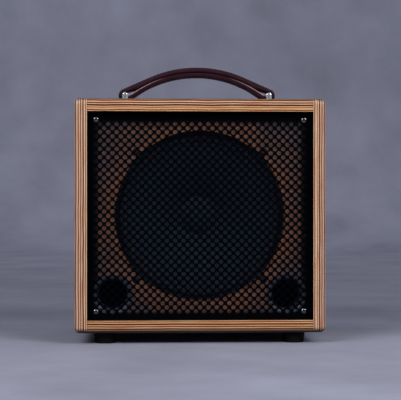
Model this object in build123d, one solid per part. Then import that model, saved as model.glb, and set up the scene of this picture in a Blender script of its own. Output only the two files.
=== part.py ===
from build123d import *
import math
import os

# Tube guitar combo: plywood box, perforated steel grille, ten-inch speaker, leather handle,
# and a steel chassis that hangs under the top board with its controls in a well.
# Millimetres. +X is right as seen from the front, the front faces -Y, +Z is up.
# The origin is on the floor, under the middle of the box.

# Box
WIDTH = 344.0
DEPTH = 240.0
BODY_HEIGHT = 320.0
WALL = 18.0
EDGE_RADIUS = 8.0
BAFFLE_THICKNESS = 15.0
BACK_THICKNESS = 12.0
BACK_RECESS = 8.0
CLEAT = 12.0
BOARD_GAP = 0.5
PART_GAP = 1.0
SCREW_GAP = 0.1
THROUGH = 1.0

# Feet
FOOT_HEIGHT = 15.0
FOOT_RADIUS = 16.0
FOOT_TAPER = 1.5
FOOT_SIDE_INSET = 42.0
FOOT_END_INSET = 30.0
FOOT_RECESS_RADIUS = 6.0
FOOT_RECESS_DEPTH = 8.0

# Grille
GRILLE_RECESS = 12.0
GRILLE_THICKNESS = 1.5
GRILLE_MARGIN = 6.5
HOLE_PITCH = 8.08
HOLE_RADIUS = 3.15
SPACER_LENGTH = 8.0
SPACER_RADIUS = 4.2

# Screws
SCREW_RADIUS = 2.0
SCREW_HEAD_RADIUS = 4.25
SCREW_HEAD_HEIGHT = 2.6
SCREW_BITE = 12.0
BOLT_RADIUS = 2.5
BOLT_HEAD_RADIUS = 5.0
BOLT_HEAD_HEIGHT = 3.0
NUT_RADIUS = 4.6
NUT_HEIGHT = 4.0

# Reflex ports
PORT_FLARE_RADIUS = 27.5
PORT_THROAT_RADIUS = 19.5
PORT_WALL = 2.0
PORT_LIP = 3.0
PORT_LENGTH = 80.0

# Speaker, radii about its axis and depths behind the gasket
SPEAKER_CLEARANCE = 1.5
SPEAKER_RIM = 11.0
GASKET_THICKNESS = 2.5
SURROUND_SHEET = 1.0
SURROUND_ROLL = 5.0
SURROUND_FLAT = 8.0
BASKET_SHEET = 2.0
BASKET_COLLAR = 12.0
BASKET_DEPTH = 59.0
BASKET_WINDOWS = 6
WINDOW_ANGLE = 42.0
LEDGE_DEPTH = 47.0
LEDGE_WIDTH = 8.0
NECK_RADIUS = 46.0
CONE_DEPTH = 42.0
CONE_SHEET = 1.2
CONE_FLARE = 5.0
COIL_RADIUS = 19.2
COIL_SHEET = 0.7
COIL_GAP = 0.8
COIL_LENGTH = 26.0
CAP_RADIUS = 26.0
CAP_RISE = 9.0
PLATE_RADIUS = 55.0
PLATE_THICKNESS = 6.0
MAGNET_RADIUS = 62.0
MAGNET_BORE = 32.0
MAGNET_THICKNESS = 18.0

# Handle, heights above the top board
HANDLE_RISE = 53.0
HANDLE_WIDTH = 26.0
GRIP_BEND_ANGLE = 23.8
GRIP_THICKNESS = 8.3
BACKING_THICKNESS = 5.5
BACKING_ANGLE = 30.0
FOLD_JOIN = 4.0
LOOP_RADIUS = 9.5
PIN_SPACING = 207.4
PIN_HEIGHT = 12.5
PIN_RADIUS = 3.5
PIN_TIP_RADIUS = 2.5
EYE_GAP = 0.1
EAR_WIDTH = 8.0
EAR_THICKNESS = 2.0
EAR_GAP = 0.6
BRACKET_LENGTH = 24.0
BRACKET_FLANGE = 11.0

# Chassis under the top board
CHASSIS_HEIGHT = 53.0
CHASSIS_DEPTH = 80.0
CHASSIS_SETBACK = 12.0
CHASSIS_SHEET = 1.5
CHASSIS_FLANGE = 14.0
PANEL_THICKNESS = 2.0
WELL_MARGIN = 24.0
WELL_RIM = 11.0
WELL_CORNER = 8.0
BOSS_RADIUS = 4.0
BOSS_HEIGHT = 7.0

# Controls, equally spaced along the well from right to left
CONTROLS = ["input", "gain", "tone", "volume", "lamp", "standby", "power"]
BUSH_RADIUS = 4.7
BUSH_HEIGHT = 7.0
BUSH_NUT_RADIUS = 6.8
BUSH_NUT_HEIGHT = 2.2
SHAFT_RADIUS = 3.1
RUNNING_GAP = 0.05
POT_RADIUS = 12.0
POT_HEIGHT = 10.0
KNOB_RADIUS = 10.5
KNOB_BASE_HEIGHT = 5.0
KNOB_HEIGHT = 14.5
KNOB_POINTER = 15.0
KNOB_DRAFT = 1.0
KNOB_TAPER = 6.0
KNOB_LIFT = 0.6
SWITCH_WIDTH = 14.0
SWITCH_LENGTH = 27.0
SWITCH_HEIGHT = 20.0
SWITCH_BUSH_RADIUS = 5.8
SWITCH_BUSH_HEIGHT = 8.0
SWITCH_BUSH_EDGE = 1.0
SWITCH_NUT_RADIUS = 8.3
LEVER_BALL = 3.0
LEVER_NECK = 1.5
LEVER_TIP = 2.6
LEVER_LENGTH = 14.0
LEVER_THROW = 25.0
LAMP_RADIUS = 8.0
LAMP_HEIGHT = 3.0
JEWEL_RADIUS = 6.0
JEWEL_HEIGHT = 8.0
LAMP_BODY_DEPTH = 18.0

# Sockets
JACK_BORE = 3.25
JACK_BODY = 16.0
JACK_DEPTH = 22.0
JACK_WALL = 2.0
SPEAKER_JACK_INSET = 92.4
INLET_INSET = 58.5
INLET_FLANGE_WIDTH = 48.0
INLET_FLANGE_HEIGHT = 23.0
INLET_FLANGE = 2.5
INLET_BODY_WIDTH = 28.0
INLET_BODY_HEIGHT = 20.0
INLET_CAVITY_WIDTH = 24.5
INLET_CAVITY_HEIGHT = 16.5
INLET_CAVITY_DEPTH = 17.0
INLET_PIN_DEPTH = 6.0
INLET_PIN = (2.0, 4.0)
INLET_PIN_OFFSET = 2.0
INLET_DEPTH = 22.0
FUSE_SPACING = 52.4
FUSE_CAP_RADIUS = 8.5
FUSE_CAP_HEIGHT = 9.0
FUSE_BODY_RADIUS = 6.5
FUSE_BODY_DEPTH = 26.0

# Valves and iron, hung under the chassis floor
VALVE_RADIUS = 11.0
POWER_VALVE_HEIGHT = 68.0
PREAMP_VALVE_HEIGHT = 48.0
SOCKET_FLANGE = 15.0
SOCKET_FLANGE_HEIGHT = 2.0
SOCKET_BODY_HEIGHT = 9.0
VALVE_SPACING = 34.0
COMPONENT_GAP = 6.0
MAINS_CORE = (68.0, 56.0, 22.0)
OUTPUT_CORE = (52.0, 42.0, 18.0)
COVER_INSET = 8.0
COVER_ROUND = 6.0
COVER_DEPTH = 1.1
BOARD_LENGTH = 190.0
BOARD_WIDTH = 44.0
BOARD_THICKNESS = 1.6
CAPACITOR_RADIUS = 9.0
CAPACITOR_LENGTH = 36.0

# Vent in the back
VENT_LENGTH = 184.0
VENT_HEIGHT = 44.0
VENT_LAP = 8.0
VENT_SHEET = 1.2
VENT_SLOT = 6.0
VENT_SLOTS = 16

# Planes of the box
base_z = FOOT_HEIGHT
top_z = base_z + BODY_HEIGHT
floor_z = base_z + WALL
ceiling_z = top_z - WALL
middle_z = (floor_z + ceiling_z) / 2
half_width = WIDTH / 2
inner_x = half_width - WALL
inner_half_height = (ceiling_z - floor_z) / 2
front_y = -DEPTH / 2
rear_y = DEPTH / 2
grille_y = front_y + GRILLE_RECESS
grille_back_y = grille_y + GRILLE_THICKNESS
baffle_y = grille_back_y + SPACER_LENGTH
baffle_back_y = baffle_y + BAFFLE_THICKNESS
basket_y = baffle_back_y + GASKET_THICKNESS
back_y = rear_y - BACK_RECESS
back_inner_y = back_y - BACK_THICKNESS

# The grille's holes lie on the diagonals of a square net, and its screws at the net's corners
grille_half_width = inner_x - BOARD_GAP
grille_half_height = inner_half_height - BOARD_GAP
hole_step = HOLE_PITCH / math.sqrt(2)
hole_columns = int((grille_half_width - GRILLE_MARGIN - HOLE_RADIUS) / hole_step)
hole_rows = int((grille_half_height - GRILLE_MARGIN - HOLE_RADIUS) / hole_step)
screw_x = hole_columns * hole_step
screw_dz = hole_rows * hole_step

# Ports stand diagonally inside the lower screws, and the speaker fills the rest of the baffle
port_offset = (PORT_FLARE_RADIUS + SPACER_RADIUS + PART_GAP / 2) / math.sqrt(2)
port_x = screw_x - port_offset
port_dz = screw_dz - port_offset
port_tube_radius = PORT_THROAT_RADIUS + PORT_WALL
speaker_radius = min(
    inner_x - CLEAT,
    inner_half_height - CLEAT,
    math.hypot(port_x, port_dz) - port_tube_radius,
) - SPEAKER_CLEARANCE
speaker_hole = speaker_radius - SPEAKER_RIM
seat_radius = speaker_hole + SPEAKER_RIM / 4
speaker_bolt_circle = (seat_radius + speaker_radius) / 2
roll_radius = seat_radius - SURROUND_FLAT - SURROUND_ROLL
cone_radius = roll_radius - SURROUND_ROLL
cone_rim = cone_radius - SURROUND_FLAT / 2
ledge_radius = NECK_RADIUS + LEDGE_WIDTH
plate_bore = COIL_RADIUS + COIL_GAP
pole_radius = COIL_RADIUS - COIL_SHEET - COIL_GAP
plate_depth = BASKET_DEPTH + BASKET_SHEET
magnet_depth = plate_depth + PLATE_THICKNESS
back_plate_depth = magnet_depth + MAGNET_THICKNESS

# Chassis, control panel and well
panel_z = ceiling_z
chassis_top = panel_z - PANEL_THICKNESS
chassis_z = chassis_top - CHASSIS_HEIGHT
chassis_x = inner_x - PART_GAP
chassis_rear = rear_y - CHASSIS_SETBACK
chassis_front = chassis_rear - CHASSIS_DEPTH
chassis_y = (chassis_front + chassis_rear) / 2
chassis_middle_z = (chassis_z + chassis_top) / 2
well_x = inner_x - WELL_MARGIN
well_half_width = CHASSIS_DEPTH / 2 - WELL_RIM
bolt_x = (inner_x + well_x) / 2
bolt_dy = CHASSIS_DEPTH / 2 - WELL_RIM
control_pitch = 2 * well_x / len(CONTROLS)
back_top = chassis_z - BOARD_GAP
vent_z = back_top - VENT_LAP * 2 - VENT_HEIGHT / 2
inlet_x = INLET_INSET - inner_x
fuse_x = inlet_x + FUSE_SPACING
speaker_jack_x = inner_x - SPEAKER_JACK_INSET
foot_x = half_width - FOOT_SIDE_INSET
foot_y = rear_y - FOOT_END_INSET
valve_row = 3 * VALVE_SPACING + 2 * SOCKET_FLANGE
component_row = OUTPUT_CORE[0] + valve_row + MAINS_CORE[0] + 2 * COMPONENT_GAP
output_x = (OUTPUT_CORE[0] - component_row) / 2
valve_x = output_x + (OUTPUT_CORE[0] + valve_row) / 2 + COMPONENT_GAP
mains_x = valve_x + (valve_row + MAINS_CORE[0]) / 2 + COMPONENT_GAP
board_z = chassis_z + CHASSIS_SHEET + BOSS_HEIGHT


def control_x(name):
    return well_x - (CONTROLS.index(name) + 0.5) * control_pitch


def block(x, y, z):
    return Pos((x[0] + x[1]) / 2, (y[0] + y[1]) / 2, (z[0] + z[1]) / 2) * Box(
        x[1] - x[0], y[1] - y[0], z[1] - z[0]
    )


def turned(*points):
    # A solid of revolution about Y, drawn by its (radius, y) corners
    return revolve(make_face(Polyline(*points, close=True)), axis=Axis.Y)


def upright(shape):
    return Rot(90, 0, 0) * shape


def pin_along_y(radius, y0, y1):
    return turned((0, y0), (radius, y0), (radius, y1), (0, y1))


def pin_up(radius, z0, z1):
    return upright(pin_along_y(radius, z0, z1))


def on_axis(shape):
    return Pos(0, basket_y, middle_z) * shape


def corners(x, y):
    return [(sx * x, sy * y) for sx in (-1, 1) for sy in (-1, 1)]


def screw(length, radius=SCREW_RADIUS, head=SCREW_HEAD_RADIUS, height=SCREW_HEAD_HEIGHT):
    # Head in front of y = 0, shank along +Y
    return turned(
        (0, -height), (head * 0.6, -height), (head, -height * 0.35), (head, 0),
        (radius, 0), (radius, length), (0, length),
    )


def save(name, shape):
    solids = shape if isinstance(shape, list) else [shape]
    found = [s for part in solids for s in part.solids()]
    export_step(found[0] if len(found) == 1 else Compound(children=found), f"parts/{name}.step")


# The wooden box

def rounded_box():
    body = block((-half_width, half_width), (front_y, rear_y), (base_z, top_z))
    return fillet(body.edges(), EDGE_RADIUS)


def side_panel(side):
    x = sorted((side * inner_x, side * half_width))
    return rounded_box() & block(x, (front_y, rear_y), (base_z, top_z))


def well_cutter():
    opening = RectangleRounded(2 * well_x, 2 * well_half_width, WELL_CORNER)
    return Pos(0, chassis_y, ceiling_z - THROUGH) * extrude(opening, WALL + 2 * THROUGH)


def chassis_bolt_places():
    return [(x, chassis_y + y) for x, y in corners(bolt_x, bolt_dy)]


def bracket_screw_y():
    return HANDLE_WIDTH / 2 + EAR_GAP + EAR_THICKNESS + BRACKET_FLANGE / 2


def handle_screw_places():
    return corners(PIN_SPACING / 2, bracket_screw_y())


def top_panel():
    board = rounded_box() & block((-inner_x, inner_x), (front_y, rear_y), (ceiling_z, top_z))
    board -= well_cutter()
    for x, y in chassis_bolt_places():
        board -= Pos(x, y) * pin_up(BOLT_RADIUS + SCREW_GAP, ceiling_z - THROUGH, top_z + THROUGH)
    for x, y in handle_screw_places():
        board -= Pos(x, y) * pin_up(SCREW_RADIUS + SCREW_GAP, top_z - SCREW_BITE, top_z + THROUGH)
    return board


def bottom_panel():
    board = rounded_box() & block((-inner_x, inner_x), (front_y, rear_y), (base_z, floor_z))
    for x, y in corners(foot_x, foot_y):
        board -= Pos(x, y) * pin_up(SCREW_RADIUS + SCREW_GAP, base_z - THROUGH, base_z + SCREW_BITE)
    return board


def baffle_screw_places():
    side_x = inner_x - CLEAT / 2
    end_dz = inner_half_height - CLEAT / 2
    sides = [(sx * side_x, dz) for sx in (-1, 1) for dz in (-PORT_FLARE_RADIUS, 2 * PORT_FLARE_RADIUS)]
    return sides + [(0, end_dz), (0, -end_dz)]


def speaker_bolt_places():
    reach = speaker_bolt_circle / math.sqrt(2)
    return corners(reach, reach)


def baffle_board():
    sheet = Rectangle(2 * grille_half_width, 2 * grille_half_height)
    sheet -= Circle(speaker_hole)
    for sx in (-1, 1):
        sheet -= Pos(sx * port_x, -port_dz) * Circle(port_tube_radius + SCREW_GAP)
    for x, z in speaker_bolt_places():
        sheet -= Pos(x, z) * Circle(BOLT_RADIUS + SCREW_GAP)
    for x, z in baffle_screw_places():
        sheet -= Pos(x, z) * Circle(SCREW_RADIUS + SCREW_GAP)
    for x, z in corners(screw_x, screw_dz):
        sheet -= Pos(x, z) * Circle(SCREW_RADIUS + SCREW_GAP)
    return facing_front(sheet, baffle_y, BAFFLE_THICKNESS)


def facing_front(sheet, y, thickness):
    # A sheet drawn as seen from the front, its front face at y
    return Pos(0, y + thickness, middle_z) * Rot(90, 0, 0) * extrude(sheet, thickness, dir=(0, 0, 1))


def cleats():
    front = (baffle_back_y, baffle_back_y + CLEAT)
    rear = (back_inner_y - CLEAT, back_inner_y)
    port_top = middle_z - port_dz + PORT_FLARE_RADIUS
    port_side = port_x - PORT_FLARE_RADIUS
    strips = [
        block((-inner_x, inner_x), front, (ceiling_z - CLEAT, ceiling_z)),
        block((-port_side, port_side), front, (floor_z, floor_z + CLEAT)),
        block((-inner_x + CLEAT, inner_x - CLEAT), rear, (floor_z, floor_z + CLEAT)),
    ]
    for sx in (-1, 1):
        x = sorted((sx * (inner_x - CLEAT), sx * inner_x))
        strips.append(block(x, front, (port_top, ceiling_z - CLEAT)))
        strips.append(block(x, rear, (floor_z, back_top)))
    holes = [
        Pos(x, 0, middle_z + z) * pin_along_y(SCREW_RADIUS + SCREW_GAP, baffle_y, baffle_back_y + SCREW_BITE)
        for x, z in baffle_screw_places()
    ]
    holes += [
        Pos(x, 0, z) * pin_along_y(SCREW_RADIUS + SCREW_GAP, back_inner_y - SCREW_BITE, back_y)
        for x, z in back_screw_places()
    ]
    return [strip - holes for strip in strips]


def back_screw_places():
    side_x = inner_x - CLEAT / 2
    low = floor_z + CLEAT / 2
    high = back_top - CLEAT
    return [(sx * side_x, z) for sx in (-1, 1) for z in (low, (low + high) / 2, high)]


def back_panel():
    board = block(
        (-inner_x + BOARD_GAP, inner_x - BOARD_GAP), (back_inner_y, back_y), (floor_z + BOARD_GAP, back_top)
    )
    window = extrude(RectangleRounded(VENT_LENGTH, VENT_HEIGHT, VENT_LAP), BACK_THICKNESS + 2 * THROUGH)
    board -= Pos(0, back_y + THROUGH, vent_z) * Rot(90, 0, 0) * window
    through = (back_inner_y - THROUGH, back_y + THROUGH)
    for x, z in back_screw_places():
        board -= Pos(x, 0, z) * pin_along_y(SCREW_RADIUS + SCREW_GAP, *through)
    return board


def vent_grille():
    sheet = Rectangle(VENT_LENGTH + 2 * VENT_LAP, VENT_HEIGHT + 2 * VENT_LAP)
    pitch = VENT_LENGTH / VENT_SLOTS
    slots = [
        Pos((i + 0.5) * pitch - VENT_LENGTH / 2, 0) * Rectangle(VENT_SLOT, VENT_HEIGHT - VENT_LAP)
        for i in range(VENT_SLOTS)
    ]
    return Pos(0, back_inner_y, vent_z) * Rot(90, 0, 0) * extrude(sheet - slots, VENT_SHEET)


def wood_screws():
    found = [Pos(x, baffle_y, middle_z + z) * screw(BAFFLE_THICKNESS + SCREW_BITE)
             for x, z in baffle_screw_places()]
    found += [Pos(x, back_y, z) * Rot(0, 0, 180) * screw(BACK_THICKNESS + SCREW_BITE)
              for x, z in back_screw_places()]
    found += [Pos(x, y, FOOT_RECESS_DEPTH) * upright(screw(FOOT_HEIGHT - FOOT_RECESS_DEPTH + SCREW_BITE))
              for x, y in corners(foot_x, foot_y)]
    return found


def feet():
    low = FOOT_RADIUS - FOOT_TAPER
    bore = SCREW_RADIUS + SCREW_GAP
    foot = upright(turned(
        (FOOT_RECESS_RADIUS, 0), (low, 0), (FOOT_RADIUS, FOOT_HEIGHT), (bore, FOOT_HEIGHT),
        (bore, FOOT_RECESS_DEPTH), (FOOT_RECESS_RADIUS, FOOT_RECESS_DEPTH),
    ))
    return [Pos(x, y) * foot for x, y in corners(foot_x, foot_y)]


# The grille and what is fixed to the baffle

def hole_places():
    # Every other corner of the net, with the sites under the screw heads left out
    sites = [
        (i * hole_step, j * hole_step)
        for i in range(-hole_columns, hole_columns + 1)
        for j in range(-hole_rows, hole_rows + 1)
        if (i + j) % 2 == 0
    ]
    clear = HOLE_RADIUS + SCREW_HEAD_RADIUS
    return [(x, z) for x, z in sites if math.hypot(abs(x) - screw_x, abs(z) - screw_dz) > clear]


def front_grille():
    rings = [Pos(x, z) * Wire.make_circle(HOLE_RADIUS) for x, z in hole_places()]
    rings += [Pos(x, z) * Wire.make_circle(SCREW_RADIUS + SCREW_GAP) for x, z in corners(screw_x, screw_dz)]
    sheet = Face(Wire.make_rect(2 * grille_half_width, 2 * grille_half_height), rings)
    return facing_front(sheet, grille_y, GRILLE_THICKNESS)


def grille_spacers():
    ring = Circle(SPACER_RADIUS) - Circle(SCREW_RADIUS + SCREW_GAP)
    places = corners(screw_x, screw_dz)
    return [facing_front(Pos(x, z) * ring, grille_back_y, SPACER_LENGTH) for x, z in places]


def grille_screws():
    length = GRILLE_THICKNESS + SPACER_LENGTH + BAFFLE_THICKNESS
    return [Pos(x, grille_y, middle_z + z) * screw(length) for x, z in corners(screw_x, screw_dz)]


def port(side):
    # A tube with a rounded mouth whose lip lies on the baffle
    flare = PORT_FLARE_RADIUS - PORT_THROAT_RADIUS
    mouth = make_face([
        Line((port_tube_radius, PORT_LENGTH), (port_tube_radius, 0)),
        Line((port_tube_radius, 0), (PORT_FLARE_RADIUS, 0)),
        Line((PORT_FLARE_RADIUS, 0), (PORT_FLARE_RADIUS, -PORT_LIP)),
        RadiusArc((PORT_FLARE_RADIUS, -PORT_LIP), (PORT_THROAT_RADIUS, flare - PORT_LIP), flare),
        Line((PORT_THROAT_RADIUS, flare - PORT_LIP), (PORT_THROAT_RADIUS, PORT_LENGTH)),
        Line((PORT_THROAT_RADIUS, PORT_LENGTH), (port_tube_radius, PORT_LENGTH)),
    ])
    return Pos(side * port_x, baffle_y, middle_z - port_dz) * revolve(mouth, axis=Axis.Y)


# The speaker: profiles are (radius, depth behind the gasket)

def speaker_gasket():
    return on_axis(turned(
        (speaker_hole, -GASKET_THICKNESS), (speaker_radius, -GASKET_THICKNESS),
        (speaker_radius, 0), (speaker_hole, 0),
    )) - [on_axis(Pos(x, 0, z) * pin_along_y(BOLT_RADIUS + SCREW_GAP, -GASKET_THICKNESS, 0))
          for x, z in speaker_bolt_places()]


def speaker_basket():
    landing = seat_radius - SURROUND_FLAT + SURROUND_SHEET
    rim_back = SURROUND_SHEET + BASKET_SHEET
    shell = turned(
        (speaker_radius, 0), (seat_radius, 0), (seat_radius, SURROUND_SHEET), (landing, SURROUND_SHEET),
        (landing, BASKET_COLLAR), (ledge_radius, LEDGE_DEPTH), (NECK_RADIUS, LEDGE_DEPTH),
        (NECK_RADIUS, BASKET_DEPTH), (plate_bore, BASKET_DEPTH), (plate_bore, plate_depth),
        (NECK_RADIUS + BASKET_SHEET, plate_depth), (NECK_RADIUS + BASKET_SHEET, LEDGE_DEPTH + BASKET_SHEET),
        (ledge_radius + BASKET_SHEET / 2, LEDGE_DEPTH + BASKET_SHEET),
        (landing + BASKET_SHEET, BASKET_COLLAR + BASKET_SHEET / 2), (landing + BASKET_SHEET, rim_back),
        (speaker_radius, rim_back),
    )
    # Open windows between the spokes
    low = BASKET_COLLAR + 3 * BASKET_SHEET
    high = LEDGE_DEPTH - 3 * BASKET_SHEET
    opening = make_face(Polyline(
        (NECK_RADIUS, low), (speaker_radius, low), (speaker_radius, high), (NECK_RADIUS, high), close=True
    ))
    window = revolve(opening, axis=Axis.Y, revolution_arc=WINDOW_ANGLE)
    shell -= [Rot(0, i * 360 / BASKET_WINDOWS, 0) * window for i in range(BASKET_WINDOWS)]
    shell -= [Pos(x, 0, z) * pin_along_y(BOLT_RADIUS + SCREW_GAP, -THROUGH, rim_back + THROUGH)
              for x, z in speaker_bolt_places()]
    return on_axis(shell)


def cone_front():
    # The curved face of the cone, from its rim to the voice coil
    mid = ((cone_rim + COIL_RADIUS) / 2, (SURROUND_SHEET + CONE_DEPTH) / 2 - CONE_FLARE)
    return (cone_rim, SURROUND_SHEET), mid, (COIL_RADIUS, CONE_DEPTH)


def speaker_cone():
    rim, mid, neck = cone_front()
    thick = CONE_SHEET
    profile = make_face([
        Line((cone_radius, SURROUND_SHEET), rim),
        ThreePointArc(rim, mid, neck),
        Line(neck, (neck[0], neck[1] + thick)),
        ThreePointArc((neck[0], neck[1] + thick), (mid[0], mid[1] + thick), (rim[0], rim[1] + thick)),
        Line((rim[0], rim[1] + thick), (cone_radius, rim[1] + thick)),
        Line((cone_radius, rim[1] + thick), (cone_radius, SURROUND_SHEET)),
    ])
    return on_axis(revolve(profile, axis=Axis.Y))


def dust_cap():
    rim, mid, neck = cone_front()
    behind_cone = make_face([
        ThreePointArc(rim, mid, neck), Line(neck, (0, neck[1])), Line((0, neck[1]), (0, 2 * neck[1])),
        Line((0, 2 * neck[1]), (rim[0], 2 * neck[1])), Line((rim[0], 2 * neck[1]), rim),
    ])
    sphere = (CAP_RADIUS ** 2 + CAP_RISE ** 2) / (2 * CAP_RISE)
    top = CONE_DEPTH - (CAP_RADIUS - COIL_RADIUS) - CAP_RISE
    shell = Pos(0, top + sphere) * (Circle(sphere) - Circle(sphere - CONE_SHEET))
    reach = Pos(sphere / 2, (top + CONE_DEPTH) / 2) * Rectangle(sphere, CONE_DEPTH - top)
    return on_axis(revolve((shell & reach) - behind_cone, axis=Axis.Y))


def speaker_surround():
    roll = Circle(SURROUND_ROLL) - Circle(SURROUND_ROLL - SURROUND_SHEET)
    roll &= Pos(0, -SURROUND_ROLL / 2) * Rectangle(2 * SURROUND_ROLL, SURROUND_ROLL)
    flat = SURROUND_SHEET / 2
    outer = Pos(seat_radius - (SURROUND_FLAT + SURROUND_SHEET) / 2, flat) * Rectangle(
        SURROUND_FLAT + SURROUND_SHEET, SURROUND_SHEET)
    inner_width = cone_radius + SURROUND_SHEET - cone_rim
    inner = Pos(cone_rim + inner_width / 2, flat) * Rectangle(inner_width, SURROUND_SHEET)
    profile = Pos(roll_radius, SURROUND_SHEET) * roll + outer + inner
    return on_axis(revolve(profile, axis=Axis.Y))


def speaker_spider():
    # Corrugated disc from the coil to the ledge of the basket
    sheet = SURROUND_SHEET
    waves = 4
    reach = (NECK_RADIUS - COIL_RADIUS) / (waves + 1)
    level = LEDGE_DEPTH - sheet
    crests = [(COIL_RADIUS + reach * (i + 1), level - (i % 2) * 2 * sheet) for i in range(waves)]
    front = [(COIL_RADIUS, level)] + crests + [(NECK_RADIUS, level), (ledge_radius, level)]
    back = [(r, y + sheet) for r, y in reversed(front)]
    return on_axis(turned(*front, *back))


def voice_coil():
    start = CONE_DEPTH
    return on_axis(turned(
        (COIL_RADIUS - COIL_SHEET, start), (COIL_RADIUS, start),
        (COIL_RADIUS, start + COIL_LENGTH), (COIL_RADIUS - COIL_SHEET, start + COIL_LENGTH),
    ))


def speaker_top_plate():
    return on_axis(turned(
        (plate_bore, plate_depth), (PLATE_RADIUS, plate_depth),
        (PLATE_RADIUS, magnet_depth), (plate_bore, magnet_depth),
    ))


def speaker_magnet():
    return on_axis(turned(
        (MAGNET_BORE, magnet_depth), (MAGNET_RADIUS, magnet_depth),
        (MAGNET_RADIUS, back_plate_depth), (MAGNET_BORE, back_plate_depth),
    ))


def speaker_pole_piece():
    end = back_plate_depth + PLATE_THICKNESS
    return on_axis(turned(
        (0, plate_depth), (pole_radius, plate_depth), (pole_radius, back_plate_depth),
        (PLATE_RADIUS, back_plate_depth), (PLATE_RADIUS, end), (0, end),
    ))


def speaker_terminals():
    neck = NECK_RADIUS + BASKET_SHEET
    reach = BASKET_DEPTH - LEDGE_DEPTH - BASKET_SHEET
    depth = (LEDGE_DEPTH + BASKET_SHEET, BASKET_DEPTH)
    strip = block((-reach, reach), depth, (-neck - BASKET_SHEET, -neck + BASKET_SHEET))
    return on_axis(strip - pin_along_y(neck, 0, BASKET_DEPTH + THROUGH))


def speaker_bolts():
    length = BAFFLE_THICKNESS + GASKET_THICKNESS + SURROUND_SHEET + BASKET_SHEET + NUT_HEIGHT
    bolt = screw(length, BOLT_RADIUS, BOLT_HEAD_RADIUS, BOLT_HEAD_HEIGHT)
    return [Pos(x, baffle_y, middle_z + z) * bolt for x, z in speaker_bolt_places()]


def speaker_nuts():
    ring = RegularPolygon(NUT_RADIUS, 6) - Circle(BOLT_RADIUS + SCREW_GAP)
    seat = basket_y + SURROUND_SHEET + BASKET_SHEET
    return [facing_front(Pos(x, z) * ring, seat, NUT_HEIGHT) for x, z in speaker_bolt_places()]


# The handle, drawn in the XZ plane about the grip's arc centre

grip_bend = math.radians(GRIP_BEND_ANGLE)
backing_end = math.radians(BACKING_ANGLE)
pin_drop = HANDLE_RISE - PIN_HEIGHT
# Arc whose end, at the bend, runs straight on to touch the loop round the pin
grip_radius = (
    LOOP_RADIUS + PIN_SPACING / 2 * math.sin(grip_bend) - pin_drop * math.cos(grip_bend)
) / (1 - math.cos(grip_bend))
seam_radius = grip_radius - GRIP_THICKNESS
underside_radius = seam_radius - BACKING_THICKNESS
arc_centre = HANDLE_RISE - grip_radius
pin_from_arc = (PIN_SPACING / 2, PIN_HEIGHT - arc_centre)
eye_radius = PIN_RADIUS + EYE_GAP


def on_grip(radius, bearing):
    # Point on an arc of the grip, its bearing taken from straight up
    return radius * math.sin(bearing), radius * math.cos(bearing)


def round_pin(radius, angle):
    return pin_from_arc[0] + radius * math.cos(angle), pin_from_arc[1] + radius * math.sin(angle)


def touch_angle(point, radius, side):
    # Where a line from the point touches a circle round the pin, over it or under it
    away = math.dist(point, pin_from_arc)
    bearing = math.atan2(point[1] - pin_from_arc[1], point[0] - pin_from_arc[0])
    return bearing - side * math.acos(radius / away)


def both_ends(shape):
    return shape + mirror(shape, about=Plane.YZ)


def handle_outline():
    # Top arc and underside arc, each running straight into the loop round the pin
    under_end = on_grip(underside_radius, backing_end)
    top_end = on_grip(grip_radius, grip_bend)
    loop_top = round_pin(LOOP_RADIUS, math.pi / 2 - grip_bend)
    loop_side = round_pin(LOOP_RADIUS, -math.pi / 6)
    loop_bottom = round_pin(LOOP_RADIUS, touch_angle(under_end, LOOP_RADIUS, -1))
    half = make_face([
        Line((0, underside_radius), (0, grip_radius)),
        ThreePointArc((0, grip_radius), on_grip(grip_radius, grip_bend / 2), top_end),
        Line(top_end, loop_top),
        ThreePointArc(loop_top, loop_side, loop_bottom),
        Line(loop_bottom, under_end),
        ThreePointArc(under_end, on_grip(underside_radius, backing_end / 2), (0, underside_radius)),
    ])
    return both_ends(half)


def pin_eyes():
    # Round eye with a wedge that closes a little before the folded end meets the backing
    meet = on_grip(seam_radius, backing_end + FOLD_JOIN / seam_radius)
    over, under = (round_pin(eye_radius, touch_angle(meet, eye_radius, side)) for side in (1, -1))
    wedge = make_face(Polyline(meet, over, under, close=True))
    return both_ends(Pos(*pin_from_arc) * Circle(eye_radius) + wedge)


def backing_outline():
    # Sector of a ring between the seam and the underside
    seam_end = on_grip(seam_radius, backing_end)
    under_end = on_grip(underside_radius, backing_end)
    return both_ends(make_face([
        Line((0, underside_radius), (0, seam_radius)),
        ThreePointArc((0, seam_radius), on_grip(seam_radius, backing_end / 2), seam_end),
        Line(seam_end, under_end),
        ThreePointArc(under_end, on_grip(underside_radius, backing_end / 2), (0, underside_radius)),
    ]))


def strap_from(outline):
    solid = extrude(outline, HANDLE_WIDTH)
    return Pos(0, HANDLE_WIDTH / 2, top_z + arc_centre) * Rot(90, 0, 0) * solid


def handle_strap():
    return strap_from(handle_outline() - backing_outline() - pin_eyes())


def handle_backing():
    return strap_from(backing_outline())


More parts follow.
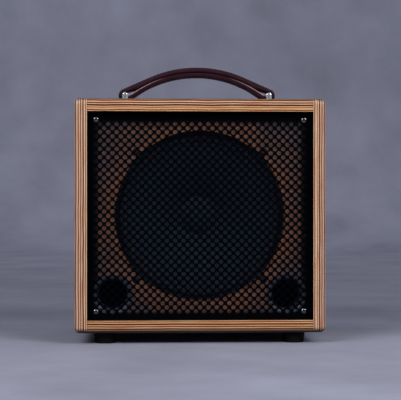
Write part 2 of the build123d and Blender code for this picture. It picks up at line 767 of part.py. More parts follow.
def handle_bracket(side):
    ear_inner = HANDLE_WIDTH / 2 + EAR_GAP
    ear_outer = ear_inner + EAR_THICKNESS
    half_length = ear_outer + BRACKET_FLANGE
    plate = block((-BRACKET_LENGTH / 2, BRACKET_LENGTH / 2), (-half_length, half_length), (0, EAR_THICKNESS))
    plate = fillet(plate.edges().filter_by(Axis.Z), BRACKET_LENGTH / 4)
    ear = Pos(0, PIN_HEIGHT / 2) * Rectangle(EAR_WIDTH, PIN_HEIGHT)
    ear += Pos(0, PIN_HEIGHT) * Circle(EAR_WIDTH / 2)
    ear -= Pos(0, PIN_HEIGHT) * Circle(PIN_TIP_RADIUS + SCREW_GAP)
    for sy in (-1, 1):
        y = max(sy * ear_inner, sy * ear_outer)
        plate += Pos(0, y, 0) * Rot(90, 0, 0) * extrude(ear, EAR_THICKNESS)
        hole = pin_up(SCREW_RADIUS + SCREW_GAP, -THROUGH, EAR_THICKNESS + THROUGH)
        plate -= Pos(0, sy * bracket_screw_y()) * hole
    return Pos(side * PIN_SPACING / 2, 0, top_z) * plate


def handle_pins():
    # Thick between the ears, with shouldered ends through them
    ear_inner = HANDLE_WIDTH / 2 + EAR_GAP
    end = ear_inner + EAR_THICKNESS
    tip = PIN_TIP_RADIUS
    pin = turned((0, -end), (tip, -end), (tip, -ear_inner), (PIN_RADIUS, -ear_inner),
                 (PIN_RADIUS, ear_inner), (tip, ear_inner), (tip, end), (0, end))
    return [Pos(side * PIN_SPACING / 2, 0, top_z + PIN_HEIGHT) * pin for side in (-1, 1)]


def handle_screws():
    down = Rot(-90, 0, 0) * screw(SCREW_BITE)
    return [Pos(x, y, top_z + EAR_THICKNESS) * down for x, y in handle_screw_places()]


# The chassis and its control panel

def valve_places():
    power = [(valve_x - VALVE_SPACING * (i + 0.5), chassis_y) for i in range(2)]
    preamp = [(valve_x + VALVE_SPACING * (i + 0.5), chassis_y) for i in range(2)]
    return power, preamp


def board_posts():
    reach = corners(BOARD_LENGTH / 2 - BOSS_RADIUS, BOARD_WIDTH / 2 - BOSS_RADIUS)
    return [(x, chassis_y + y) for x, y in reach]


def chassis():
    x = (-chassis_x, chassis_x)
    y = (chassis_front, chassis_rear)
    inside = CHASSIS_SHEET
    tray = block(x, y, (chassis_z, chassis_top)) - block(
        (x[0] + inside, x[1] - inside), (y[0] + inside, y[1] - inside), (chassis_z + inside, chassis_top)
    )
    for side in (-1, 1):
        lip = sorted((side * (chassis_x - CHASSIS_FLANGE), side * chassis_x))
        tray += block(lip, y, (chassis_top - inside, chassis_top))
    for px, py in board_posts():
        tray += Pos(px, py) * pin_up(BOSS_RADIUS, chassis_z, board_z)
    for group in valve_places():
        for px, py in group:
            tray -= Pos(px, py) * pin_up(VALVE_RADIUS + SCREW_GAP, chassis_z - THROUGH, chassis_z + inside)
    flange = (chassis_top - inside - THROUGH, chassis_top + THROUGH)
    for px, py in chassis_bolt_places():
        tray -= Pos(px, py) * pin_up(BOLT_RADIUS + SCREW_GAP, *flange)
    rear = (chassis_rear - inside - THROUGH, chassis_rear + THROUGH)
    half_w = INLET_BODY_WIDTH / 2 + SCREW_GAP
    half_h = INLET_BODY_HEIGHT / 2 + SCREW_GAP
    mouth = block((-half_w, half_w), rear, (-half_h, half_h))
    tray -= Pos(inlet_x, 0, chassis_middle_z) * mouth
    for px, radius in ((fuse_x, FUSE_BODY_RADIUS), (speaker_jack_x, BUSH_RADIUS)):
        tray -= Pos(px, 0, chassis_middle_z) * pin_along_y(radius + SCREW_GAP, *rear)
    return tray


def control_panel():
    sheet = Rectangle(2 * chassis_x, CHASSIS_DEPTH)
    own_hole = {"lamp": JEWEL_RADIUS, "standby": SWITCH_BUSH_RADIUS, "power": SWITCH_BUSH_RADIUS}
    for name in CONTROLS:
        sheet -= Pos(control_x(name), 0) * Circle(own_hole.get(name, BUSH_RADIUS) + SCREW_GAP)
    for x, y in corners(bolt_x, bolt_dy):
        sheet -= Pos(x, y) * Circle(BOLT_RADIUS + SCREW_GAP)
    return Pos(0, chassis_y, chassis_top) * extrude(sheet, PANEL_THICKNESS)


def chassis_bolts():
    length = WALL + PANEL_THICKNESS + CHASSIS_SHEET + NUT_HEIGHT
    bolt = Rot(-90, 0, 0) * screw(length, BOLT_RADIUS, BOLT_HEAD_RADIUS, BOLT_HEAD_HEIGHT)
    nut = extrude(RegularPolygon(NUT_RADIUS, 6) - Circle(BOLT_RADIUS + SCREW_GAP), -NUT_HEIGHT)
    found = []
    for x, y in chassis_bolt_places():
        found += [Pos(x, y, top_z) * bolt, Pos(x, y, chassis_top - CHASSIS_SHEET) * nut]
    return found


def in_panel(name, shape):
    return Pos(control_x(name), chassis_y, panel_z) * shape


def bush_nut(radius, bush):
    return extrude(RegularPolygon(radius, 6) - Circle(bush), BUSH_NUT_HEIGHT)


def potentiometers():
    # Round can under the panel, threaded bush and nut above it, blind bore for the shaft
    bore = SHAFT_RADIUS + RUNNING_GAP
    under = -PANEL_THICKNESS
    can = upright(turned(
        (0, under - POT_HEIGHT), (POT_RADIUS, under - POT_HEIGHT), (POT_RADIUS, under), (BUSH_RADIUS, under),
        (BUSH_RADIUS, BUSH_HEIGHT), (bore, BUSH_HEIGHT), (bore, under - POT_HEIGHT / 2),
        (0, under - POT_HEIGHT / 2),
    ))
    pot = can + bush_nut(BUSH_NUT_RADIUS, BUSH_RADIUS - SCREW_GAP)
    return [in_panel(name, pot) for name in ("gain", "tone", "volume")]


def pot_shaft(name):
    low = -PANEL_THICKNESS - POT_HEIGHT / 2 + RUNNING_GAP
    return in_panel(name, pin_up(SHAFT_RADIUS, low, KNOB_HEIGHT - BUSH_NUT_HEIGHT))


def knob(name):
    # Round base with a long pointer, hollow underneath to clear the bush and its nut
    low = KNOB_LIFT
    base = upright(turned((0, low), (KNOB_RADIUS, low), (KNOB_RADIUS - KNOB_DRAFT, low + KNOB_BASE_HEIGHT),
                          (0, low + KNOB_BASE_HEIGHT)))
    tail = KNOB_RADIUS * 0.85
    bar = make_face(Polyline(
        (-tail * 0.55, -tail), (tail * 0.55, -tail), (tail * 0.7, 0), (KNOB_DRAFT, KNOB_POINTER),
        (-KNOB_DRAFT, KNOB_POINTER), (-tail * 0.7, 0), close=True
    ))
    rise = KNOB_HEIGHT - KNOB_BASE_HEIGHT / 2
    bar = Pos(0, 0, low + KNOB_BASE_HEIGHT / 2) * extrude(bar, rise, taper=KNOB_TAPER)
    hollow = pin_up(BUSH_NUT_RADIUS + PART_GAP, low - THROUGH, BUSH_HEIGHT + KNOB_LIFT)
    return in_panel(name, base + bar - hollow - pin_up(SHAFT_RADIUS, 0, KNOB_HEIGHT - BUSH_NUT_HEIGHT))


def lever_pivot(name):
    return Pos(control_x(name), chassis_y, panel_z + LEVER_BALL)


def toggle_switches():
    # Case under the panel, and a bush whose bore holds the lever's ball
    bore = LEVER_BALL + RUNNING_GAP
    mouth = SWITCH_BUSH_HEIGHT
    under = -PANEL_THICKNESS
    case = block((-SWITCH_WIDTH / 2, SWITCH_WIDTH / 2), (-SWITCH_LENGTH / 2, SWITCH_LENGTH / 2),
                 (under - SWITCH_HEIGHT, under))
    bush = upright(turned(
        (bore, under), (SWITCH_BUSH_RADIUS, under), (SWITCH_BUSH_RADIUS, mouth),
        (SWITCH_BUSH_RADIUS - SWITCH_BUSH_EDGE, mouth), (bore, mouth - 2 * SWITCH_BUSH_EDGE),
    ))
    body = case + bush + bush_nut(SWITCH_NUT_RADIUS, SWITCH_BUSH_RADIUS - SCREW_GAP)
    body -= pin_up(bore, under, LEVER_BALL)
    return [in_panel(name, body) for name in ("standby", "power")]


def switch_lever(name):
    # Ball, thin neck and a bat that widens to its tip, at rest tipped to the front
    neck = math.sqrt(LEVER_BALL ** 2 - LEVER_NECK ** 2)
    bat = make_face([
        ThreePointArc((0, -LEVER_BALL), (LEVER_BALL, 0), (LEVER_NECK, neck)),
        Line((LEVER_NECK, neck), (LEVER_TIP, LEVER_LENGTH)),
        RadiusArc((LEVER_TIP, LEVER_LENGTH), (0, LEVER_LENGTH + LEVER_TIP), -LEVER_TIP),
        Line((0, LEVER_LENGTH + LEVER_TIP), (0, -LEVER_BALL)),
    ])
    lever = upright(revolve(bat, axis=Axis.Y))
    return lever_pivot(name) * Rot(LEVER_THROW / 2, 0, 0) * lever


def pilot_lamp():
    # Bezel over the panel with a threaded body through it
    body = upright(turned(
        (0, -LAMP_BODY_DEPTH), (JEWEL_RADIUS, -LAMP_BODY_DEPTH), (JEWEL_RADIUS, 0), (LAMP_RADIUS, 0),
        (LAMP_RADIUS, LAMP_HEIGHT), (0, LAMP_HEIGHT),
    ))
    return in_panel("lamp", body)


def pilot_jewel():
    dome = upright(turned((0, LAMP_HEIGHT), (JEWEL_RADIUS, LAMP_HEIGHT), (JEWEL_RADIUS * 0.6, JEWEL_HEIGHT),
                          (0, JEWEL_HEIGHT)))
    return in_panel("lamp", dome)


def jack(sheet):
    # Bored bush and nut in front of y = 0, square case behind the sheet it is fixed in
    case = block((-JACK_BODY / 2, JACK_BODY / 2), (sheet, JACK_DEPTH), (-JACK_BODY / 2, JACK_BODY / 2))
    bush = pin_along_y(BUSH_RADIUS, -BUSH_HEIGHT / 2, sheet)
    nut = Rot(90, 0, 0) * bush_nut(BUSH_NUT_RADIUS, BUSH_RADIUS - SCREW_GAP)
    return case + bush + nut - pin_along_y(JACK_BORE, -BUSH_HEIGHT, JACK_DEPTH - JACK_WALL)


def input_jack():
    return in_panel("input", Rot(-90, 0, 0) * jack(PANEL_THICKNESS))


def speaker_jack():
    return Pos(speaker_jack_x, chassis_rear, chassis_middle_z) * Rot(0, 0, 180) * jack(CHASSIS_SHEET)


def power_inlet():
    # Flanged appliance inlet with a deep cavity and three blades
    flange = extrude(RectangleRounded(INLET_FLANGE_WIDTH, INLET_FLANGE_HEIGHT, INLET_FLANGE), INLET_FLANGE)
    body = extrude(Rectangle(INLET_BODY_WIDTH, INLET_BODY_HEIGHT), -INLET_DEPTH)
    opening = RectangleRounded(INLET_CAVITY_WIDTH, INLET_CAVITY_HEIGHT, INLET_FLANGE)
    cavity = extrude(opening, -INLET_CAVITY_DEPTH)
    inlet = flange + body - Pos(0, 0, INLET_FLANGE) * cavity
    blade = Box(*INLET_PIN, INLET_CAVITY_DEPTH - INLET_PIN_DEPTH)
    side = INLET_CAVITY_WIDTH / 4
    depth = (INLET_FLANGE - INLET_CAVITY_DEPTH - INLET_PIN_DEPTH) / 2
    for x, z in ((-side, -INLET_PIN_OFFSET), (0, INLET_PIN_OFFSET), (side, -INLET_PIN_OFFSET)):
        inlet += Pos(x, z, depth) * blade
    return Pos(inlet_x, chassis_rear, chassis_middle_z) * Rot(-90, 0, 0) * inlet


def fuse_holder():
    cap = FUSE_CAP_RADIUS
    holder = turned(
        (0, -FUSE_BODY_DEPTH), (FUSE_BODY_RADIUS, -FUSE_BODY_DEPTH), (FUSE_BODY_RADIUS, 0),
        (cap, 0), (cap * 0.85, FUSE_CAP_HEIGHT), (0, FUSE_CAP_HEIGHT),
    )
    return Pos(fuse_x, chassis_rear, chassis_middle_z) * holder


# Inside the box, under and in the chassis

def tube_sockets():
    socket = upright(turned(
        (0, -SOCKET_FLANGE_HEIGHT), (SOCKET_FLANGE, -SOCKET_FLANGE_HEIGHT), (SOCKET_FLANGE, 0),
        (VALVE_RADIUS, 0), (VALVE_RADIUS, SOCKET_BODY_HEIGHT - SOCKET_FLANGE_HEIGHT),
        (0, SOCKET_BODY_HEIGHT - SOCKET_FLANGE_HEIGHT),
    ))
    power, preamp = valve_places()
    return [Pos(x, y, chassis_z) * socket for x, y in power + preamp]


def valves(places, height):
    # Straight glass with a domed end and a sealing tip, hanging from its socket
    shoulder = height - VALVE_RADIUS * 0.6
    glass = make_face([
        Line((0, 0), (VALVE_RADIUS, 0)),
        Line((VALVE_RADIUS, 0), (VALVE_RADIUS, shoulder)),
        ThreePointArc((VALVE_RADIUS, shoulder), (VALVE_RADIUS * 0.75, height - VALVE_RADIUS * 0.15),
                      (VALVE_RADIUS * 0.2, height)),
        Line((VALVE_RADIUS * 0.2, height), (0, height + VALVE_RADIUS * 0.4)),
        Line((0, height + VALVE_RADIUS * 0.4), (0, 0)),
    ])
    bulb = Rot(-90, 0, 0) * revolve(glass, axis=Axis.Y)
    return [Pos(x, y, chassis_z - SOCKET_FLANGE_HEIGHT) * bulb for x, y in places]


def transformer(x, core):
    # Laminated core against the chassis floor, with a drawn cover round the coil below it
    length, width, height = core
    stack = block((-length / 2, length / 2), (-width / 2, width / 2), (-height, 0))
    cover = block((-length / 2 + COVER_INSET, length / 2 - COVER_INSET),
                  (-width / 2 + COVER_INSET / 2, width / 2 - COVER_INSET / 2),
                  (-height - COVER_DEPTH * height, -height))
    cover = fillet(cover.edges().filter_by(Axis.Z) + cover.edges().group_by(Axis.Z)[0], COVER_ROUND)
    return Pos(x, chassis_y, chassis_z) * (stack + cover)


def circuit_board():
    board = block(
        (-BOARD_LENGTH / 2, BOARD_LENGTH / 2), (-BOARD_WIDTH / 2, BOARD_WIDTH / 2), (0, BOARD_THICKNESS)
    )
    return Pos(0, chassis_y, board_z) * board


def filter_capacitors():
    low = board_z + BOARD_THICKNESS + CAPACITOR_RADIUS
    can = Rot(0, 90, 0) * Cylinder(CAPACITOR_RADIUS, CAPACITOR_LENGTH)
    return [Pos(side * BOARD_LENGTH / 4, chassis_y, low) * can for side in (-1, 1)]


power_places, preamp_places = valve_places()
os.makedirs("parts", exist_ok=True)
pieces = {
    "side_panel_left": side_panel(-1),
    "side_panel_right": side_panel(1),
    "top_panel": top_panel(),
    "bottom_panel": bottom_panel(),
    "baffle_board": baffle_board(),
    "cleats": cleats(),
    "back_panel": back_panel(),
    "vent_grille": vent_grille(),
    "wood_screws": wood_screws(),
    "feet": feet(),
    "front_grille": front_grille(),
    "grille_spacers": grille_spacers(),
    "grille_screws": grille_screws(),
    "port_left": port(-1),
    "port_right": port(1),
    "speaker_gasket": speaker_gasket(),
    "speaker_basket": speaker_basket(),
    "speaker_cone": speaker_cone(),
    "dust_cap": dust_cap(),
    "speaker_surround": speaker_surround(),
    "speaker_spider": speaker_spider(),
    "voice_coil": voice_coil(),
    "speaker_top_plate": speaker_top_plate(),
    "speaker_magnet": speaker_magnet(),
    "speaker_pole_piece": speaker_pole_piece(),
    "speaker_terminals": speaker_terminals(),
    "speaker_bolts": speaker_bolts(),
    "speaker_nuts": speaker_nuts(),
    "handle_strap": handle_strap(),
    "handle_backing": handle_backing(),
    "handle_bracket_left": handle_bracket(-1),
    "handle_bracket_right": handle_bracket(1),
    "handle_pins": handle_pins(),
    "handle_screws": handle_screws(),
    "chassis": chassis(),
    "control_panel": control_panel(),
    "chassis_bolts": chassis_bolts(),
    "potentiometers": potentiometers(),
    "shaft_gain": pot_shaft("gain"),
    "shaft_tone": pot_shaft("tone"),
    "shaft_volume": pot_shaft("volume"),
    "knob_gain": knob("gain"),
    "knob_tone": knob("tone"),
    "knob_volume": knob("volume"),
    "toggle_switches": toggle_switches(),
    "standby_lever": switch_lever("standby"),
    "power_lever": switch_lever("power"),
    "pilot_lamp": pilot_lamp(),
    "pilot_jewel": pilot_jewel(),
    "input_jack": input_jack(),
    "speaker_jack": speaker_jack(),
    "power_inlet": power_inlet(),
    "fuse_holder": fuse_holder(),
    "tube_sockets": tube_sockets(),
    "power_tubes": valves(power_places, POWER_VALVE_HEIGHT),
    "preamp_tubes": valves(preamp_places, PREAMP_VALVE_HEIGHT),
    "power_transformer": transformer(mains_x, MAINS_CORE),
    "output_transformer": transformer(output_x, OUTPUT_CORE),
    "circuit_board": circuit_board(),
    "filter_capacitors": filter_capacitors(),
}
for name, piece in pieces.items():
    save(name, piece)
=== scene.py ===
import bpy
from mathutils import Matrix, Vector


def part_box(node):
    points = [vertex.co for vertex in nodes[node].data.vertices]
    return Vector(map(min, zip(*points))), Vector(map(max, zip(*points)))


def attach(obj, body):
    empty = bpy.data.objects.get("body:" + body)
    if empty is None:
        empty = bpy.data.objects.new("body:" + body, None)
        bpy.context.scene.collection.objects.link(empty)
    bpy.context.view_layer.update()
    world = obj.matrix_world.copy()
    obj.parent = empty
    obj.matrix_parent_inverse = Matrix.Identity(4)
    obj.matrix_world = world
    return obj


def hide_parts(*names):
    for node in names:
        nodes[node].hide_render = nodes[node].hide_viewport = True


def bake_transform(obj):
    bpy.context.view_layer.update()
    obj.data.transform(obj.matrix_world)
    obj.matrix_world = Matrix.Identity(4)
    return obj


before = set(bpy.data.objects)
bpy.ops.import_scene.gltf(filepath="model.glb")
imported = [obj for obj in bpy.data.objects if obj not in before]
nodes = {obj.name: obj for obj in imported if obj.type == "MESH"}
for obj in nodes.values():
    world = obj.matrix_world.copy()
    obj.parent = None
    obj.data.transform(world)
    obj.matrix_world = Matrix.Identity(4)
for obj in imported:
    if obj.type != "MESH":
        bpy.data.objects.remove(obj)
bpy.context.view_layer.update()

import math
from functools import partial

import bmesh
import bpy
import numpy as np
from mathutils import Vector

mm = 0.001
weld = 1e-6   # points nearer to each other than this, in metres, are one
boxOf = {name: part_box(name) for name in nodes}
topHigh = boxOf["top_panel"][1]
bottomLow = boxOf["bottom_panel"][0]
sideHigh = boxOf["side_panel_right"][1]
boxMiddleZ = (topHigh.z + bottomLow.z) / 2
speakerZ = (boxOf["speaker_gasket"][0].z + boxOf["speaker_gasket"][1].z) / 2


# Camera, stage and lamps

# lens and sensor in mm, yaw in degrees, place in metres
view = {"lens": 118.7, "sensor": 36.0, "yaw": 2.7, "place": (-0.085, -1.918, 0.1965)}


def linked(name, data):   # a new object in the scene
    made = bpy.data.objects.new(name, data)
    bpy.context.scene.collection.objects.link(made)
    return made


eye = linked("eye", bpy.data.cameras.new("eye"))
eye.data.lens = view["lens"]
eye.data.sensor_width = view["sensor"]
eye.location = view["place"]
eye.rotation_euler = (math.pi / 2, 0, -math.radians(view["yaw"]))
bpy.context.scene.camera = eye
bpy.context.scene.view_settings.view_transform = "Standard"


def hexColour(text):   # sRGB hex to the linear colour that the shader takes
    parts = [int(text[i:i + 2], 16) / 255 for i in (1, 3, 5)]
    return [p / 12.92 if p <= 0.04045 else ((p + 0.055) / 1.055) ** 2.4 for p in parts] + [1.0]


def addNode(tree, kind, inputs=(), **settings):   # one node, its settings, and its inputs set or linked
    made = tree.nodes.new(kind if "Node" in kind else "ShaderNode" + kind)
    for key, value in settings.items():
        setattr(made, key, value)
    for key, value in inputs.items() if isinstance(inputs, dict) else enumerate(inputs):
        if isinstance(value, bpy.types.Node):
            value = value.outputs[0]
        if isinstance(value, str) and value.startswith("#"):
            value = hexColour(value)
        if isinstance(value, bpy.types.NodeSocket):
            tree.links.new(value, made.inputs[key])
        else:
            made.inputs[key].default_value = value
    return made


def startMaterial(name, sockets={}):   # a material, addNode for its tree, and its Object coordinates
    made = bpy.data.materials.new(name)
    made.use_nodes = True
    for key, value in sockets.items():
        made.node_tree.nodes["Principled BSDF"].inputs[key].default_value = value
    add = partial(addNode, made.node_tree)
    return made, add, add("TexCoord").outputs["Object"]


def endMaterial(made, colour, gloss=None, relief=None, height=0.0):
    # Gives the shader a colour, which may be (share, first, second) to mix, a gloss as (pattern, low, high,
    # roughness at low, at high), and relief in mm
    tree = made.node_tree
    if isinstance(colour, tuple):
        colour = addNode(tree, "Mix", dict(zip((0, 6, 7), colour)), data_type="RGBA").outputs[2]
    given = {"Base Color": colour}
    if gloss:
        given["Roughness"] = addNode(tree, "MapRange", gloss).outputs[0]
    if relief:
        bump = addNode(tree, "Bump", {"Height": relief, "Distance": height * mm})
        given["Normal"] = bump.outputs[0]
    for key, socket in given.items():
        tree.links.new(socket, tree.nodes["Principled BSDF"].inputs[key])
    return made


def mottled(name, colours, grain, rough, bump=0.0, sockets={}):
    # Two close tones and a change of gloss at the grain's size in mm, with relief of the given height in mm
    made, add, place = startMaterial(name, sockets)
    noise = add("TexNoise", {"Vector": place, "Scale": 1000 / grain, "Detail": 3.0})
    tone = add("MapRange", [noise, 0.35, 0.65])
    return endMaterial(made, (tone, *colours), (noise, 0.3, 0.7, *rough), noise if bump else None, bump)


studio = {
    # canvas: its patches in mm, how strong they are, and where its front tone fades to its back one, around
    # the cabinet, in metres
    "frontColour": "#8d8e9f", "backColour": "#7e8091", "patch": 260, "cloud": 0.16, "fadeFrom": -0.1,
    "fadeTo": 0.14,
    # its run in metres, with the radius of the sweep where it turns up
    "near": -9.0, "far": 3.0, "sweep": 0.8, "height": 3.6, "halfWidth": 7.0,
    # name, place, size, watts, what it points at, beam in degrees
    "lamps": [
        ("keySoftbox", (-1.25, -1.75, 1.55), (1.1, 1.1), 38, (0, 0, 0.17), 180),
        ("fillSoftbox", (1.45, -1.6, 1.45), (1.1, 1.1), 40, (0, 0, 0.17), 180),
        ("topSoftbox", (0.0, 0.1, 2.2), (1.8, 1.0), 8, (0, 0, 0.17), 180),
        ("backdropStrip", (0.0, 1.6, 2.9), (3.0, 0.6), 24.5, (0, 3.8, 0.6), 120)],
    "worldColour": "#c9ccd8", "worldStrength": 0.28,
}


def backdropPaper():
    # Painted canvas backdrop: soft cloudy patches, paler in front of the cabinet and darker from about its
    # front backwards, on the floor and up the wall
    made, add, place = startMaterial("paintedCanvasBackdrop", {"Roughness": 0.85, "Specular IOR Level": 0.2})
    away = add("SeparateXYZ", [place]).outputs["Y"]
    fade = add("MapRange", [away, studio["fadeFrom"], studio["fadeTo"]], interpolation_type="SMOOTHSTEP")
    cloud = add("TexNoise", {
        "Vector": place, "Scale": 1000 / studio["patch"], "Detail": 5.0, "Roughness": 0.6})
    base = add("Mix", {0: fade, 6: studio["frontColour"], 7: studio["backColour"]}, data_type="RGBA")
    shade = add("MapRange", [cloud, 0.3, 0.7, 1 - studio["cloud"], 1 + studio["cloud"]])
    mix = add("VectorMath", [base.outputs[2], shade], operation="MULTIPLY")
    return endMaterial(made, mix.outputs[0])


def buildStage():
    far, sweep, half = studio["far"], studio["sweep"], studio["halfWidth"]
    arc = [(far + sweep * math.sin(a), sweep * (1 - math.cos(a))) for a in np.linspace(0, math.pi / 2, 25)]
    line = [(studio["near"], 0.0)] + arc + [(far + sweep, studio["height"])]
    points = [(x, y, z) for y, z in line for x in (-half, half)]
    faces = [(2 * i, 2 * i + 1, 2 * i + 3, 2 * i + 2) for i in range(len(line) - 1)]
    mesh = bpy.data.meshes.new("backdrop")
    mesh.from_pydata(points, [], faces)
    mesh.shade_smooth()
    mesh.materials.append(backdropPaper())
    linked("backdrop", mesh)
    for name, place, size, power, aim, beam in studio["lamps"]:
        lamp = bpy.data.lights.new(name, "AREA")
        lamp.shape = "RECTANGLE"
        lamp.size, lamp.size_y = size
        lamp.energy = power
        lamp.spread = math.radians(beam)
        holder = linked(name, lamp)
        holder.location = place
        holder.rotation_euler = (Vector(aim) - Vector(place)).to_track_quat("-Z", "Y").to_euler()
    world = bpy.data.worlds.new("studioRoom")
    world.use_nodes = True
    glow = world.node_tree.nodes["Background"]
    glow.inputs[0].default_value = hexColour(studio["worldColour"])
    glow.inputs[1].default_value = studio["worldStrength"]
    bpy.context.scene.world = world


buildStage()
print("stage and lamps set")


# Finishes

plywoodLook = {
    # thicknesses in mm, how far the plies wander and swell, and how quickly they do
    "plies": 11, "ply": 18 / 11, "veneer": 0.5, "wander": 0.4, "uneven": 0.5, "swellRate": 0.42,
    # a dark ply's share of a pair and its soft edge, and the two boards' offset from each other
    "darkShare": 0.44, "softEdge": 0.03, "boardShift": 23.7, "toneShift": 31.7,
    # how much a ply's own tone counts beside its streaks or pores, and the strength of both
    "paleMix": (0.55, 0.62), "darkMix": (0.7, 0.6),
    # patterns in mm, the drawn-out ones as (across the grain, along it)
    "streak": (0.9, 26), "blush": (3.0, 45), "figure": (15, 170), "rings": 7.0, "pore": 0.8, "waviness": 55,
    # near-black for the front inside faces and for the painted shadow on the baffle's edges, then the face
    # veneer's tones and roughness
    "recessBlackAndShadow": "#060505", "veneerColour": "#7d5039", "veneerStreak": "#4b2a1d", "gloss": (0.38, 0.52),
    # the rounded ends are darker, with painted shade on the foot where it turns down under the cabinet and a
    # darker top edge: darkest and gone at these mm from the end, and the share of the colour kept where
    # darkest
    "footShade": (2.0, 7.5, 0.05), "topDarkening": (0.8, 4.2, 0.26),
    "outerReflectionTint": (0.98, 0.98, 1.1), "innerTint": (1.02, 0.98, 0.86), "blushTint": (0.96, 0.74, 0.6),
    # pale ply, its streaks, dark ply, its pores
    "standing": ("#d8b99e", "#b0805f", "#6d4027", "#412212"),
    "lying": ("#daab80", "#ac6e3f", "#451a06", "#240b02"),
}


def drawnOut(add, place, along, size, detail):   # noise drawn out along a board, (across, along) in mm
    scale = [1000 / size[0]] * 3
    scale["XYZ".index(along)] = 1000 / size[1]
    spread = add("VectorMath", [place, scale], operation="MULTIPLY")
    return add("TexNoise", {"Vector": spread, "Scale": 1.0, "Detail": detail})


def fromSpeaker(add, place):   # distance from the speaker's axis
    centred = add("VectorMath", [place, (0, 0, speakerZ)], operation="SUBTRACT")
    flat = add("VectorMath", [centred, (1, 0, 1)], operation="MULTIPLY")
    return add("VectorMath", [flat], operation="LENGTH").outputs["Value"]


